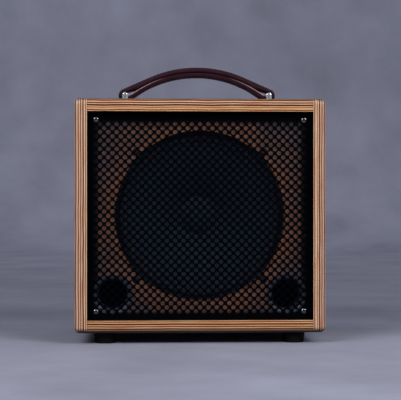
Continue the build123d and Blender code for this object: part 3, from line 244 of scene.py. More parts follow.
def birchPly(name, along, across, centre, halfSpan, tones):
    # Lacquered birch plywood: eleven cross-laid plies show as pale and dark stripes on every cut edge,
    # under a stained face veneer with long grain, and the front inside faces are coloured near-black
    made, add, place = startMaterial(name, {
        "Coat Weight": 0.12, "Coat Roughness": 0.3, "Specular IOR Level": 0.3})
    look = plywoodLook
    axes = add("SeparateXYZ", [place]).outputs
    across = axes[across]
    streak = drawnOut(add, place, along, look["streak"], 4.0)
    pore = add("TexNoise", {"Vector": place, "Scale": 1000 / look["pore"], "Detail": 2.0})
    slow = add("TexNoise", {"Vector": place, "Scale": 1000 / look["waviness"], "Detail": 2.0})
    # how deep a point lies under the board's outer face, in mm, bent a little along the board
    offset = add("Math", [across, centre], operation="SUBTRACT")
    offset = add("Math", [offset], operation="ABSOLUTE")
    depth = add("MapRange", [offset, halfSpan, halfSpan - 0.1, 0.0, 100.0], clamp=False)
    side = add("Math", [across, centre], operation="GREATER_THAN")
    wave = add("MapRange", [slow, 0.3, 0.7, -look["wander"], look["wander"]])
    bent = add("Math", [depth, wave], operation="ADD")
    # plies of unequal thickness: the depth itself is pushed about by a slow curve
    where = add("Math", [side, look["boardShift"], bent], operation="MULTIPLY_ADD")
    push = add("TexNoise", {"W": where, "Scale": look["swellRate"], "Detail": 1.0}, noise_dimensions="1D")
    push = add("MapRange", [push, 0.25, 0.75, -look["uneven"], look["uneven"]])
    pushed = add("Math", [bent, push], operation="ADD")
    pair = add("Math", [pushed, 0.5 / look["ply"]], operation="MULTIPLY")
    index = add("Math", [pair], operation="FLOOR")
    within = add("Math", [pair], operation="FRACT")
    darkFrom = 1 - look["darkShare"]
    odd = add("MapRange", [within, darkFrom - look["softEdge"], darkFrom + look["softEdge"]])
    seed = add("Math", [side, look["toneShift"], index], operation="MULTIPLY_ADD")
    tone = add("TexWhiteNoise", {"W": seed}, noise_dimensions="1D").outputs["Value"]
    # pale plies: tone by ply and by streak; dark plies: end grain, speckled with pores
    streaky = add("MapRange", [streak, 0.36, 0.72])
    paleness = add("Math", [tone, look["paleMix"][0], streaky], operation="MULTIPLY_ADD")
    paleness = add("Math", [paleness, look["paleMix"][1]], operation="MULTIPLY", use_clamp=True)
    light = add("Mix", {0: paleness, 6: tones[0], 7: tones[1]}, data_type="RGBA")
    speckled = add("MapRange", [pore, 0.4, 0.66])
    darkness = add("Math", [tone, look["darkMix"][0], speckled], operation="MULTIPLY_ADD")
    darkness = add("Math", [darkness, look["darkMix"][1]], operation="MULTIPLY", use_clamp=True)
    deep = add("Mix", {0: darkness, 6: tones[2], 7: tones[3]}, data_type="RGBA")
    edge = add("Mix", {0: odd, 6: light.outputs[2], 7: deep.outputs[2]}, data_type="RGBA")
    # a painted reflection of the bluish room makes it cooler towards the outer face; golden towards the inner
    # one, with long redder patches
    inwards = add("MapRange", [depth, 0.0, look["plies"] * look["ply"]])
    tint = add("Mix", {0: inwards, 4: look["outerReflectionTint"], 5: look["innerTint"]}, data_type="VECTOR").outputs[1]
    blush = drawnOut(add, place, along, look["blush"], 1.0)
    blush = add("MapRange", [blush, 0.45, 0.75])
    red = add("Mix", {0: blush, 4: (1.0, 1.0, 1.0), 5: look["blushTint"]}, data_type="VECTOR").outputs[1]
    toned = add("VectorMath", [edge.outputs[2], tint], operation="MULTIPLY")
    toned = add("VectorMath", [toned, red], operation="MULTIPLY")
    # flat-sawn figure of the face veneer: growth rings drawn out along the board
    figure = drawnOut(add, place, along, look["figure"], 1.0)
    rings = add("Math", [figure, look["rings"]], operation="MULTIPLY")
    rings = add("Math", [rings, 0.5], operation="PINGPONG")
    rings = add("Math", [streaky, 0.45, rings], operation="MULTIPLY_ADD")
    veneer = add("Mix", {0: rings, 6: look["veneerColour"], 7: look["veneerStreak"]}, data_type="RGBA")
    inner = look["plies"] * look["ply"] - look["veneer"]
    outside = add("Math", [depth, look["veneer"]], operation="LESS_THAN")
    inside = add("Math", [depth, inner], operation="GREATER_THAN")
    faced = add("Math", [outside, inside], operation="MAXIMUM")
    dressed = add("Mix", {0: faced, 6: toned, 7: veneer.outputs[2]}, data_type="RGBA")
    # the inside faces in front of the baffle take the near-black colour
    forward = add("Math", [axes["Y"], boxOf["baffle_board"][0].y], operation="LESS_THAN")
    painted = add("Math", [inside, forward], operation="MULTIPLY")
    woodColour = dressed.outputs[2]
    # painted shade on the rounded foot, darkest where it turns down under the cabinet; the top edge is
    # darkened too
    ends = [(bottomLow.z, mm, look["footShade"]), (topHigh.z, -mm, look["topDarkening"])]
    for end, step, (darkest, light, left) in ends:
        endDarkening = add("MapRange", [axes["Z"], end + darkest * step, end + light * step, left, 1.0])
        woodColour = add("VectorMath", [woodColour, endDarkening], operation="MULTIPLY")
    gloss = (streak, 0.3, 0.7, *look["gloss"])
    return endMaterial(made, (painted, woodColour, look["recessBlackAndShadow"]), gloss, streak, 0.05)


# in mm: from the speaker's axis, where the painted shade of the recess walls begins and where it is full, its
# patches and streaks, and the near-black bands of painted shadow along the sides and top and at the foot, with
# their soft edge
baffleLook = {
    "unshadedTo": 118, "fullShadeFrom": 160, "patch": 34, "ragged": 20, "streak": (3.0, 90), "margin": 13.5,
    "shadedFootMargin": 9.5, "fade": 3.0,
}


def stainedBoard(name, along, colours, outer=None):
    # Brush-stained softwood ply: brown with streaks that follow its grain; where outer colours are given,
    # painted shade of the recess walls makes it greyer and darker away from the speaker's hole, with a ragged,
    # patchy edge
    made, add, place = startMaterial(name, {"Specular IOR Level": 0.3})
    streak = drawnOut(add, place, along, baffleLook["streak"], 5.0)
    tone = add("MapRange", [streak, 0.35, 0.68])
    mix = add("Mix", {0: tone, 6: colours[0], 7: colours[1]}, data_type="RGBA")
    if outer:
        # painted shade: a greyer, darker tone further from the speaker's hole stands in for the shade that the
        # recess walls cast on the baffle
        darkest = add("Mix", {0: tone, 6: outer[0], 7: outer[1]}, data_type="RGBA")
        away = fromSpeaker(add, place)
        patch = add("TexNoise", {"Vector": place, "Scale": 1000 / baffleLook["patch"], "Detail": 3.0})
        swell = add("MapRange", [patch, 0.3, 0.7, -baffleLook["ragged"] * mm, baffleLook["ragged"] * mm])
        reach = add("Math", [away, swell], operation="ADD")
        coat = add("MapRange", [reach, baffleLook["unshadedTo"] * mm, baffleLook["fullShadeFrom"] * mm])
        mix = add("Mix", {0: coat, 6: mix.outputs[2], 7: darkest.outputs[2]}, data_type="RGBA")
        # painted shadow: near-black bands along the sides, the top and the foot of the baffle stand in for the
        # shadow of the cabinet's walls
        low, high = boxOf["baffle_board"]
        axes = add("SeparateXYZ", [place]).outputs
        sideways = add("Math", [axes["X"]], operation="ABSOLUTE")
        margin, shadedFootMargin, fade = (baffleLook[key] * mm for key in ("margin", "shadedFootMargin", "fade"))
        bands = [(sideways, high.x - margin, fade), (axes["Z"], high.z - margin, fade),
                 (axes["Z"], low.z + shadedFootMargin, -fade)]
        for value, line, soft in bands:
            shadowBand = add("MapRange", [value, line - soft, line + soft])
            mix = add("Mix", {0: shadowBand, 6: mix.outputs[2], 7: plywoodLook["recessBlackAndShadow"]}, data_type="RGBA")
    return endMaterial(made, mix.outputs[2], (streak, 0.3, 0.7, 0.5, 0.7), streak, 0.08)


def pressedPaper(name, colours, fibreSize, ringPitch):
    # Pressed paper pulp: felted dark grey fibre with fine moulded rings about the axis
    made, add, place = startMaterial(name, {"Roughness": 0.8, "Specular IOR Level": 0.1})
    radius = fromSpeaker(add, place)
    turns = add("Math", [radius, 2 * math.pi * 1000 / ringPitch], operation="MULTIPLY")
    ring = add("Math", [turns], operation="SINE")
    fibre = add("TexNoise", {"Vector": place, "Scale": 1000 / fibreSize, "Detail": 6.0})
    tone = add("MapRange", [fibre, 0.35, 0.7])
    both = add("Math", [ring, fibre], operation="ADD")
    return endMaterial(made, (tone, *colours), None, both, 0.12)


def wovenCloth(name, colours, pitch, rough):
    # Plain-weave cloth: two crossing thread waves, so the light breaks up into a fine check
    made, add, place = startMaterial(name, {
        "Roughness": rough, "Sheen Weight": 0.1, "Specular IOR Level": 0.2})
    bands = {"Vector": place, "Scale": 1000 / pitch / 20, "Distortion": 0.6}   # 20 bands to a scale of 1
    warp = add("TexWave", bands, bands_direction="X").outputs["Fac"]
    weft = add("TexWave", bands, bands_direction="Z").outputs["Fac"]
    weave = add("Math", [warp, weft], operation="MULTIPLY")
    return endMaterial(made, (weave, *colours), None, weave, 0.15)


leatherLook = {"wobble": 0.002, "crease": 0.22, "rubPatch": 18}   # as shares, and the patch in mm


def tannedLeather(name, colours, creased, pebble):
    # Waxed full-grain leather: fine pebbles with dark creases between them, rubbed paler here and there
    made, add, place = startMaterial(name, {"Specular IOR Level": 0.09})
    wobble = add("TexNoise", {"Vector": place, "Scale": 1000 / (3 * pebble), "Detail": 2.0})
    bent = add("Mix", {0: leatherLook["wobble"], 4: place, 5: wobble.outputs["Color"]}, data_type="VECTOR")
    cells = add("TexVoronoi", {"Vector": bent.outputs[1], "Scale": 1000 / pebble}, feature="DISTANCE_TO_EDGE")
    crease = add("MapRange", [cells, 0.0, leatherLook["crease"]])
    rub = add("TexNoise", {"Vector": place, "Scale": 1000 / leatherLook["rubPatch"], "Detail": 4.0})
    rubbed = add("MapRange", [rub, 0.35, 0.7])
    skinTone = add("Mix", {0: rubbed, 6: colours[0], 7: colours[1]}, data_type="RGBA")
    gloss = (rubbed, 0.0, 1.0, 0.5, 0.36)
    return endMaterial(made, (crease, creased, skinTone.outputs[2]), gloss, crease, 0.07)


# the painted highlight on the cut edge starts at the first distance and is full at the second
edgeLook = {"darkTo": 46, "highlightFrom": 82}   # mm from the middle of the handle


def cutLeather(name, burnished, paintedHighlight, fibre):
    # Cut edge of leather: dark and closed where hands burnish it, and towards its ends a pale, speckled
    # painted highlight where the edge catches the lamps, on a duller surface
    made, add, place = startMaterial(name, {"Specular IOR Level": 0.15})
    axes = add("SeparateXYZ", [place]).outputs
    away = add("Math", [axes["X"]], operation="ABSOLUTE")
    highlightShare = add("MapRange", [away, edgeLook["darkTo"] * mm, edgeLook["highlightFrom"] * mm])
    speck = add("TexNoise", {"Vector": place, "Scale": 1000 / fibre, "Detail": 4.0})
    share = add("MapRange", [speck, 0.3, 0.7, 0.6, 1.0])
    share = add("Math", [share, highlightShare], operation="MULTIPLY")
    return endMaterial(made, (share, burnished, paintedHighlight), (highlightShare, 0.0, 1.0, 0.45, 0.8), speck, 0.06)


glassLook = {"smoke": "#3a3d42", "getter": "#c9cbd0", "patch": 9, "ragged": 0.6}


def silveredGlass(name, tipZ, reach):
    # Blown valve glass: clear smoky grey, with the silver getter film that creeps up from its tip
    made, add, place = startMaterial(name, {"IOR": 1.5, "Coat Weight": 0.6, "Coat Roughness": 0.04})
    height = add("SeparateXYZ", [place]).outputs["Z"]
    patch = add("TexNoise", {"Vector": place, "Scale": 1000 / glassLook["patch"], "Detail": 4.0})
    ragged = add("Math", [patch, glassLook["ragged"] * reach, height], operation="MULTIPLY_ADD")
    film = add("MapRange", [ragged, tipZ + 1.2 * reach, tipZ + 0.8 * reach])
    made.node_tree.links.new(film.outputs[0], made.node_tree.nodes["Principled BSDF"].inputs["Metallic"])
    return endMaterial(made, (film, glassLook["smoke"], glassLook["getter"]), (patch, 0.3, 0.7, 0.06, 0.14))


def coat(finish, *names):   # puts a finish on frame nodes
    for name in names:
        nodes[name].data.materials.clear()
        nodes[name].data.materials.append(finish)
    return finish


coat(birchPly("lacqueredBirchPlyStanding", "Z", "X", 0.0, sideHigh.x, plywoodLook["standing"]),
     "side_panel_left", "side_panel_right")
coat(birchPly("lacqueredBirchPlyLying", "X", "Z", boxMiddleZ, topHigh.z - boxMiddleZ, plywoodLook["lying"]),
     "top_panel", "bottom_panel")
# the baffle's second pair of tones is the painted shade of the recess walls, away from the speaker's hole
coat(stainedBoard("stainedPlyBaffle", "X", ("#96644c", "#6f4634"), ("#6a5556", "#493a3c")), "baffle_board")
coat(stainedBoard("stainedPlyBack", "X", ("#7a4f3b", "#5a3727")), "back_panel")
coat(stainedBoard("planedPineCleat", "Z", ("#c9a577", "#a9824f")), "cleats")
coat(pressedPaper("pressedPaperCone", ("#1f2632", "#303a49"), 1.4, 6.0), "speaker_cone")
coat(pressedPaper("pressedPaperCap", ("#1f2632", "#303a49"), 1.4, 9.0), "dust_cap")
coat(silveredGlass("blownGlassPowerValve", boxOf["power_tubes"][0].z, 16 * mm), "power_tubes")
coat(silveredGlass("blownGlassPreampValve", boxOf["preamp_tubes"][0].z, 12 * mm), "preamp_tubes")

# the leather's pebble, its cut fibre, the thread's twist and the surround's weave are drawn coarser, to show
leather = tannedLeather("waxedBurgundyLeather", ("#260c1a", "#391523"), "#11040b", 1.0)
# the cut edge's pale tone is a painted highlight towards the handle's ends
leatherEdge = cutLeather("leatherEdgeWithPaintedHighlight", "#3c1824", "#c6a5a3", 0.8)
thread = wovenCloth("waxedLinenThread", ("#3a1d28", "#5a3a44"), 0.9, 0.6)
surroundCloth = wovenCloth("dopedClothSurround", ("#1a202b", "#2e3644"), 1.4, 0.7)
spiderCloth = wovenCloth("resinDippedCottonSpider", ("#7a5a2a", "#a5803f"), 1.2, 0.8)

# deep matt black, almost no sheen
grilleEnamel = mottled("bakedBlackEnamelOnGrille", ("#010205", "#020409"), 0.8, (0.42, 0.52), 0.02,
                       {"Specular IOR Level": 0.015})
# satin, with a faint orange peel
blackEnamel = coat(mottled("bakedBlackEnamelOnSteel", ("#08080a", "#0d0d10"), 0.8, (0.34, 0.46), 0.02),
                   "vent_grille", "control_panel", "speaker_bolts")
# fine powder texture
coat(mottled("powderCoatedSteelBasket", ("#0a0b0d", "#121317"), 0.9, (0.45, 0.6), 0.05), "speaker_basket")
# half gloss, small clean highlights
coat(mottled("injectionMouldedAbsPort", ("#343642", "#474a57"), 1.5, (0.26, 0.36), 0.0,
             {"Specular IOR Level": 0.2}), "port_left", "port_right", "power_inlet")
# dense, slightly cloudy gloss
coat(mottled("mouldedPhenolic", ("#0c0b0b", "#151313"), 1.2, (0.28, 0.4), 0.01),
     "knob_gain", "knob_tone", "knob_volume", "fuse_holder", "speaker_terminals")
# dull moulded skin
coat(mottled("mouldedNylon", ("#0d0d0e", "#131315"), 1.0, (0.45, 0.6), 0.02),
     "grille_spacers", "input_jack", "speaker_jack")
# matt black, with dust in the pores
coat(mottled("mouldedBlackRubber", ("#030304", "#060608"), 1.1, (0.7, 0.85), 0.05,
             {"Specular IOR Level": 0.15}), "feet")
# granules dyed dark grey
coat(mottled("pressedCorkGasket", ("#1c2027", "#2d323c"), 1.6, (0.8, 0.95), 0.15), "speaker_gasket")
# grey ceramic sparkle
coat(mottled("sinteredFerrite", ("#1d1e20", "#2b2c2f"), 0.9, (0.5, 0.7), 0.03), "speaker_magnet")
# tan, woven look
coat(mottled("epoxyFibreBoard", ("#8a6a34", "#73562a"), 2.0, (0.4, 0.5), 0.02), "circuit_board")
# off-white glaze
coat(mottled("glazedSteatite", ("#e8e2d4", "#d8d1c0"), 2.5, (0.2, 0.3)), "tube_sockets")
# thin plastic film over the can
coat(mottled("shrinkSleeve", ("#59616d", "#4c535e"), 3.0, (0.35, 0.45)), "filter_capacitors")
# thin off-white ink
dialPaint = mottled("screenPrintedInk", ("#d9d7cf", "#c8c5bb"), 1.0, (0.5, 0.6), 0.02)
# bright, a little worn
chrome = mottled("polishedChromePlate", ("#f2f3f5", "#e8eaee"), 4.0, (0.16, 0.26), 0.0, {"Metallic": 1.0})
coat(chrome, "handle_pins", "standby_lever", "power_lever", "pilot_lamp", "toggle_switches", "shaft_gain",
     "shaft_tone", "shaft_volume")
# smoky mirror plate, bright where the dome catches a lamp
screwSteel = mottled("blackNickelScrewSteel", ("#74777f", "#4a4c53"), 1.0, (0.1, 0.17), 0.01,
                     {"Metallic": 1.0})
# cloudy bright plate
coat(mottled("zincPlatedSteel", ("#b9bcc0", "#9ea2a8"), 2.2, (0.28, 0.42), 0.01, {"Metallic": 1.0}),
     "speaker_nuts", "chassis_bolts", "speaker_top_plate", "speaker_pole_piece", "potentiometers")
# rolled sheet
coat(mottled("foldedAluminium", ("#c3c5c9", "#b2b5ba"), 1.5, (0.35, 0.5), 0.01, {"Metallic": 1.0}),
     "chassis", "voice_coil")
# dark varnish on stamped sheet
coat(mottled("varnishedSteelLaminations", ("#22201f", "#302d2b"), 0.7, (0.4, 0.55), 0.04),
     "power_transformer", "output_transformer")
# warm, deep glow
coat(mottled("amberCutGlass", ("#e2741c", "#c9560f"), 3.0, (0.04, 0.08), 0.0, {
    "Transmission Weight": 0.55, "IOR": 1.52, "Emission Color": hexColour("#ff8a2a"),
    "Emission Strength": 0.15}), "pilot_jewel")
print("finishes made, and put on the frame nodes")


# Mesh helpers; in the dictionaries from here on, sizes are in mm and angles in degrees

def placeMesh(name, mesh, finish, body="cabinet"):
    made = linked(name, mesh)
    mesh.materials.append(finish)
    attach(made, body)
    return made


def skin(name, loops):   # a smooth skin over matching closed loops, capped, with its faces outwards
    count = len(loops[0])
    points = [p for loop in loops for p in loop]
    faces = []
    for a in range(0, len(points) - count, count):
        b = a + count
        faces += [(a + j, a + (j + 1) % count, b + (j + 1) % count, b + j) for j in range(count)]
    faces += [tuple(range(count))[::-1], tuple(range(len(points) - count, len(points)))]
    mesh = bpy.data.meshes.new(name)
    mesh.from_pydata(points, [], faces)
    work = bmesh.new()
    work.from_mesh(mesh)
    bmesh.ops.remove_doubles(work, verts=work.verts, dist=weld)
    bmesh.ops.recalc_face_normals(work, faces=work.faces)
    work.to_mesh(mesh)
    work.free()
    mesh.shade_smooth()
    return mesh


def applied(made):   # leaves an object with the plain mesh that its modifiers give
    mesh = bpy.data.meshes.new_from_object(made.evaluated_get(bpy.context.evaluated_depsgraph_get()))
    made.modifiers.clear()
    made.data = mesh
    return mesh


def sharpen(mesh, angle):   # keeps edges steeper than the angle crisp
    bpy.context.view_layer.update()
    mesh.set_sharp_from_angle(angle=math.radians(angle))


def solidsOf(name):   # each separate solid of a frame node, as an array of its points
    work = bmesh.new()
    work.from_mesh(nodes[name].data)
    bmesh.ops.remove_doubles(work, verts=work.verts, dist=weld)
    left, found = set(work.verts), []
    while left:
        stack, group = [left.pop()], []
        while stack:
            vert = stack.pop()
            group.append(list(vert.co))
            for edge in vert.link_edges:
                other = edge.other_vert(vert)
                if other in left:
                    left.remove(other)
                    stack.append(other)
        found.append(np.array(group))
    work.free()
    return sorted(found, key=lambda points: tuple(points.mean(0).round(4)))


# Geometry-node helpers

def startTree(name, sockets):   # a tree with inputs of these kinds, addNode for it, and its inputs' sockets
    tree = bpy.data.node_groups.new(name, "GeometryNodeTree")
    for label, kind in sockets.items():
        tree.interface.new_socket(label, in_out="INPUT", socket_type="NodeSocket" + kind)
    tree.interface.new_socket("Geometry", in_out="OUTPUT", socket_type="NodeSocketGeometry")
    add = partial(addNode, tree)
    return tree, add, add("NodeGroupInput").outputs


def endTree(tree, geometry, finish):
    real = addNode(tree, "GeometryNodeRealizeInstances", [geometry])
    done = addNode(tree, "GeometryNodeSetMaterial", {0: real, "Material": finish})
    addNode(tree, "NodeGroupOutput", [done])
    return tree


def grown(name, tree, values, helpers=()):   # runs a tree once and keeps what it makes, without its helpers
    made = linked(name, bpy.data.meshes.new(name))
    modifier = made.modifiers.new(name, "NODES")
    modifier.node_group = tree
    for item in tree.interface.items_tree:
        if item.in_out == "INPUT":
            modifier[item.identifier] = values[item.name]
    applied(made).name = name
    for helper in helpers:
        bpy.data.objects.remove(helper)
    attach(made, "cabinet")
    return made


# Perforated grille

grilleSheet = {"pitch": 8.08, "holeRadius": 3.15, "margin": 6.5, "screwHead": 4.25, "sides": 18}


def perforatedSheet():
    tree, add, given = startTree("perforatedSheet", {
        "Width": "Float", "Height": "Float", "Thickness": "Float", "Half Pitch": "Float",
        "Hole Radius": "Float", "Sides": "Int", "Columns": "Int", "Rows": "Int", "Screw Place": "Vector",
        "Place": "Vector", "Finish": "Material"})
    half = given["Half Pitch"]
    spans = []
    for count in (given["Columns"], given["Rows"]):
        steps = add("Math", [count, 1.0], operation="SUBTRACT")
        spans.append(add("Math", [steps, half], operation="MULTIPLY"))
    sites = add("GeometryNodeMeshGrid", {
        "Size X": spans[0], "Size Y": spans[1], "Vertices X": given["Columns"], "Vertices Y": given["Rows"]})
    # every other site of the square net carries a hole, and none lies under a screw
    where = add("GeometryNodeInputPosition")
    inverse = add("Math", [1.0, half], operation="DIVIDE")
    steps = add("VectorMath", {0: where, "Scale": inverse}, operation="SCALE")
    axes = add("SeparateXYZ", [steps]).outputs
    total = add("Math", [axes["X"], axes["Y"]], operation="ADD")
    total = add("Math", [total], operation="ROUND")
    odd = add("Math", [total, 2.0], operation="FLOORED_MODULO")
    mirrored = add("VectorMath", [where], operation="ABSOLUTE")
    away = add("VectorMath", [mirrored, given["Screw Place"]], operation="DISTANCE").outputs["Value"]
    underScrew = add("Math", [away, half], operation="LESS_THAN")
    skipped = add("Math", [odd, underScrew], operation="MAXIMUM")
    kept = add("GeometryNodeDeleteGeometry", {0: sites, "Selection": skipped}, domain="POINT")
    hole = add("GeometryNodeCurvePrimitiveCircle", {
        "Resolution": given["Sides"], "Radius": given["Hole Radius"]})
    holes = add("GeometryNodeInstanceOnPoints", {"Points": kept, "Instance": hole})
    rings = add("GeometryNodeRealizeInstances", [holes])
    rim = add("GeometryNodeCurvePrimitiveQuadrilateral", {"Width": given["Width"], "Height": given["Height"]})
    outlines = add("GeometryNodeJoinGeometry", [rings])
    tree.links.new(rim.outputs[0], outlines.inputs[0])
    sheet = add("GeometryNodeFillCurve", [outlines])
    raised = add("GeometryNodeExtrudeMesh", {
        "Mesh": sheet, "Offset Scale": given["Thickness"], "Individual": False})
    under = add("GeometryNodeFlipFaces", [sheet])
    both = add("GeometryNodeJoinGeometry", [raised])
    tree.links.new(under.outputs[0], both.inputs[0])
    welded = add("GeometryNodeMergeByDistance", {0: both, "Distance": weld})
    turned = add("GeometryNodeTransform", {
        0: welded, "Rotation": (math.pi / 2, 0, 0), "Translation": given["Place"]})
    return endTree(tree, turned, given["Finish"])


def buildGrille():
    low, high = boxOf["front_grille"]
    screwLow, screwHigh = boxOf["grille_screws"]
    half = grilleSheet["pitch"] * mm / math.sqrt(2)
    edge = (grilleSheet["margin"] + grilleSheet["holeRadius"]) * mm
    columns = 2 * int(((high.x - low.x) / 2 - edge) / half) + 1
    rows = 2 * int(((high.z - low.z) / 2 - edge) / half) + 1
    head = grilleSheet["screwHead"] * mm
    made = grown("grille", perforatedSheet(), {
        "Width": high.x - low.x, "Height": high.z - low.z, "Thickness": high.y - low.y, "Half Pitch": half,
        "Hole Radius": grilleSheet["holeRadius"] * mm, "Sides": grilleSheet["sides"], "Columns": columns,
        "Rows": rows, "Screw Place": (screwHigh.x - head, (screwHigh.z - screwLow.z) / 2 - head, 0.0),
        "Place": (0.0, high.y, (low.z + high.z) / 2), "Finish": grilleEnamel})
    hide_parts("front_grille")
    print("grille:", columns, "x", rows, "sites,", len(made.data.polygons), "faces")


buildGrille()


# Screws: round heads with a cross recess, one at each frame screw

screwLook = {   # all but the radius and the height are shares of these
    "radius": 4.25, "height": 2.6, "sides": 24, "seat": 0.55, "rim": 0.28, "recess": 0.62, "recessWidth": 0.2,
    "recessDepth": 0.55, "recessTaper": 0.6,
}


def crossHead(name):   # dome towards -Z, flat side on z = 0, with a cross cut into it
    radius, height, rim = screwLook["radius"] * mm, screwLook["height"] * mm, screwLook["rim"]
    steps = [(screwLook["seat"] * radius, 0.0), (radius, 0.0), (radius, -rim * height)]
    for a in np.linspace(0.2, 1.35, 6):
        steps.append((radius * math.cos(a), -height * (rim + (1 - rim) * math.sin(a))))
    turns = [2 * math.pi * k / screwLook["sides"] for k in range(screwLook["sides"])]
    loops = [[(r * math.cos(a), r * math.sin(a), z) for a in turns] for r, z in steps]
    dome = linked(name, skin(name, loops))
    arm, half = radius * screwLook["recess"], radius * screwLook["recessWidth"] / 2
    floor, above = -height * (1 - screwLook["recessDepth"]), -height * 1.5
    outline = [(arm, -half), (arm, half), (half, half)]
    for quarter in range(3):
        outline += [(-y, x) for x, y in outline[-3:]]
    deep = [(x * screwLook["recessTaper"], y * screwLook["recessTaper"], floor) for x, y in outline]
    wide = [(x * 1.15, y * 1.15, above) for x, y in outline]
    cutter = linked(name + "Cutter", skin(name + "Cutter", [deep, wide]))
    cross = dome.modifiers.new("cross", "BOOLEAN")
    cross.operation, cross.solver, cross.object = "DIFFERENCE", "EXACT", cutter
    sharpen(applied(dome), 40)
    bpy.data.objects.remove(cutter)
    return dome


def screwRows():
    tree, add, given = startTree("screwRows", {
        "Places": "Object", "Head": "Object", "Seed": "Int", "Finish": "Material"})
    places = add("GeometryNodeObjectInfo", {"Object": given["Places"]}).outputs["Geometry"]
    head = add("GeometryNodeObjectInfo", {"Object": given["Head"]}).outputs["Geometry"]
    facing = add("GeometryNodeInputNamedAttribute", {"Name": "facing"}, data_type="FLOAT_VECTOR")
    aim = add("FunctionNodeAlignRotationToVector", {"Vector": facing}, axis="Z")
    turn = add("FunctionNodeRandomValue", {2: 0.0, 3: math.pi, "Seed": given["Seed"]}).outputs[1]
    spin = add("FunctionNodeAxisAngleToRotation", {"Axis": (0, 0, 1), "Angle": turn})
    both = add("FunctionNodeRotateRotation", [aim, spin], rotation_space="LOCAL")
    heads = add("GeometryNodeInstanceOnPoints", {"Points": places, "Instance": head, "Rotation": both})
    return endTree(tree, heads, given["Finish"])


def buildScrews():
    tree = screwRows()
    height = screwLook["height"] * mm
    kinds = {
        "grilleScrews": ("grille_screws", screwSteel, "black_steel", 3),
        "woodScrews": ("wood_screws", blackEnamel, "black_steel", 5),
        "handleScrews": ("handle_screws", chrome, "chrome", 7),
    }
    for name, (node, finish, slot, seed) in kinds.items():
        head = crossHead(name + "Head")
        seats, facings = [], []
        for points in solidsOf(node):
            low, high = points.min(0), points.max(0)
            axis = int(np.argmax(high - low))
            others = [k for k in range(3) if k != axis]
            seat = (high + low) / 2
            reach = np.hypot(*(points[:, others] - seat[others]).T)
            wide = points[reach > 0.9 * reach.max()][:, axis].mean()   # where the screw is widest is its head
            facing = [0.0, 0.0, 0.0]
            facing[axis] = 1.0 if wide < seat[axis] else -1.0
            seat[axis] = low[axis] + height if facing[axis] > 0 else high[axis] - height
            seats.append(tuple(seat))
            facings.append(facing)
        cloud = bpy.data.meshes.new(name + "Places")
        cloud.from_pydata(seats, [], [])
        cloud.attributes.new("facing", "FLOAT_VECTOR", "POINT").data.foreach_set("vector", np.ravel(facings))
        places = linked(name + "Places", cloud)
        values = {"Places": places, "Head": head, "Seed": seed, "Finish": finish}
        made = grown(name, tree, values, [places, head])
        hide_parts(node)
        print(name, len(seats), "screws")


buildScrews()


# Leather handle: a padded strap that loops round its pins, and a backing layer sewn under it

handleLook = {
    "bend": 23.8, "gripThickness": 8.3, "backingThickness": 5.5, "backingAngle": 30.0, "meet": 31.43,
    "loopRadius": 9.5, "eyeRadius": 3.6, "pinRadius": 3.5, "crown": 4.4, "roll": 3.1, "dome": 0.7,
    "backingInset": 0.1, "backingCrown": 0.5, "backingRoll": 1.1, "edgeThickness": 0.85, "edgeProud": 0.15,
    "edgeRound": 0.3, "stitchPitch": 4.6, "stitchLength": 3.2, "stitchThickness": 0.75, "stitchInset": 3.4,
    # the stations at which the seams and the cut edge end
    "topSeamEnd": 42, "underSeamEnd": -4, "edgeEnd": -3,
}

strapLow, strapHigh = boxOf["handle_strap"]
pinLow, pinHigh = boxOf["handle_pins"]
pinX = pinHigh.x / mm - handleLook["pinRadius"]
pinDrop = strapHigh.z / mm - (pinLow.z + pinHigh.z) / 2 / mm
bend = math.radians(handleLook["bend"])
gripRadius = handleLook["loopRadius"] + pinX * math.sin(bend) - pinDrop * math.cos(bend)
gripRadius /= 1 - math.cos(bend)
seamRadius = gripRadius - handleLook["gripThickness"]
underRadius = seamRadius - handleLook["backingThickness"]
pinPlace = np.array([pinX, gripRadius - pinDrop])
arcCentreZ = strapHigh.z / mm - gripRadius
strapHalf = (strapHigh.y - strapLow.y) / 2 / mm


def onArc(radius, bearing):
    return np.array([radius * math.sin(bearing), radius * math.cos(bearing)])


def roundPin(radius, angle):
    return pinPlace + radius * np.array([math.cos(angle), math.sin(angle)])


def between(first, last, count):
    return [first + (last - first) * t for t in np.linspace(0, 1, count)]


def touching(point, radius, side):   # bearing round the pin where a line from the point touches a circle
    away = point - pinPlace
    return math.atan2(away[1], away[0]) - side * math.acos(radius / np.linalg.norm(away))


def paired(outer, inner, count):   # (outer, inner) points along two straight runs, without the first
    return list(zip(between(*outer, count)[1:], between(*inner, count)[1:]))


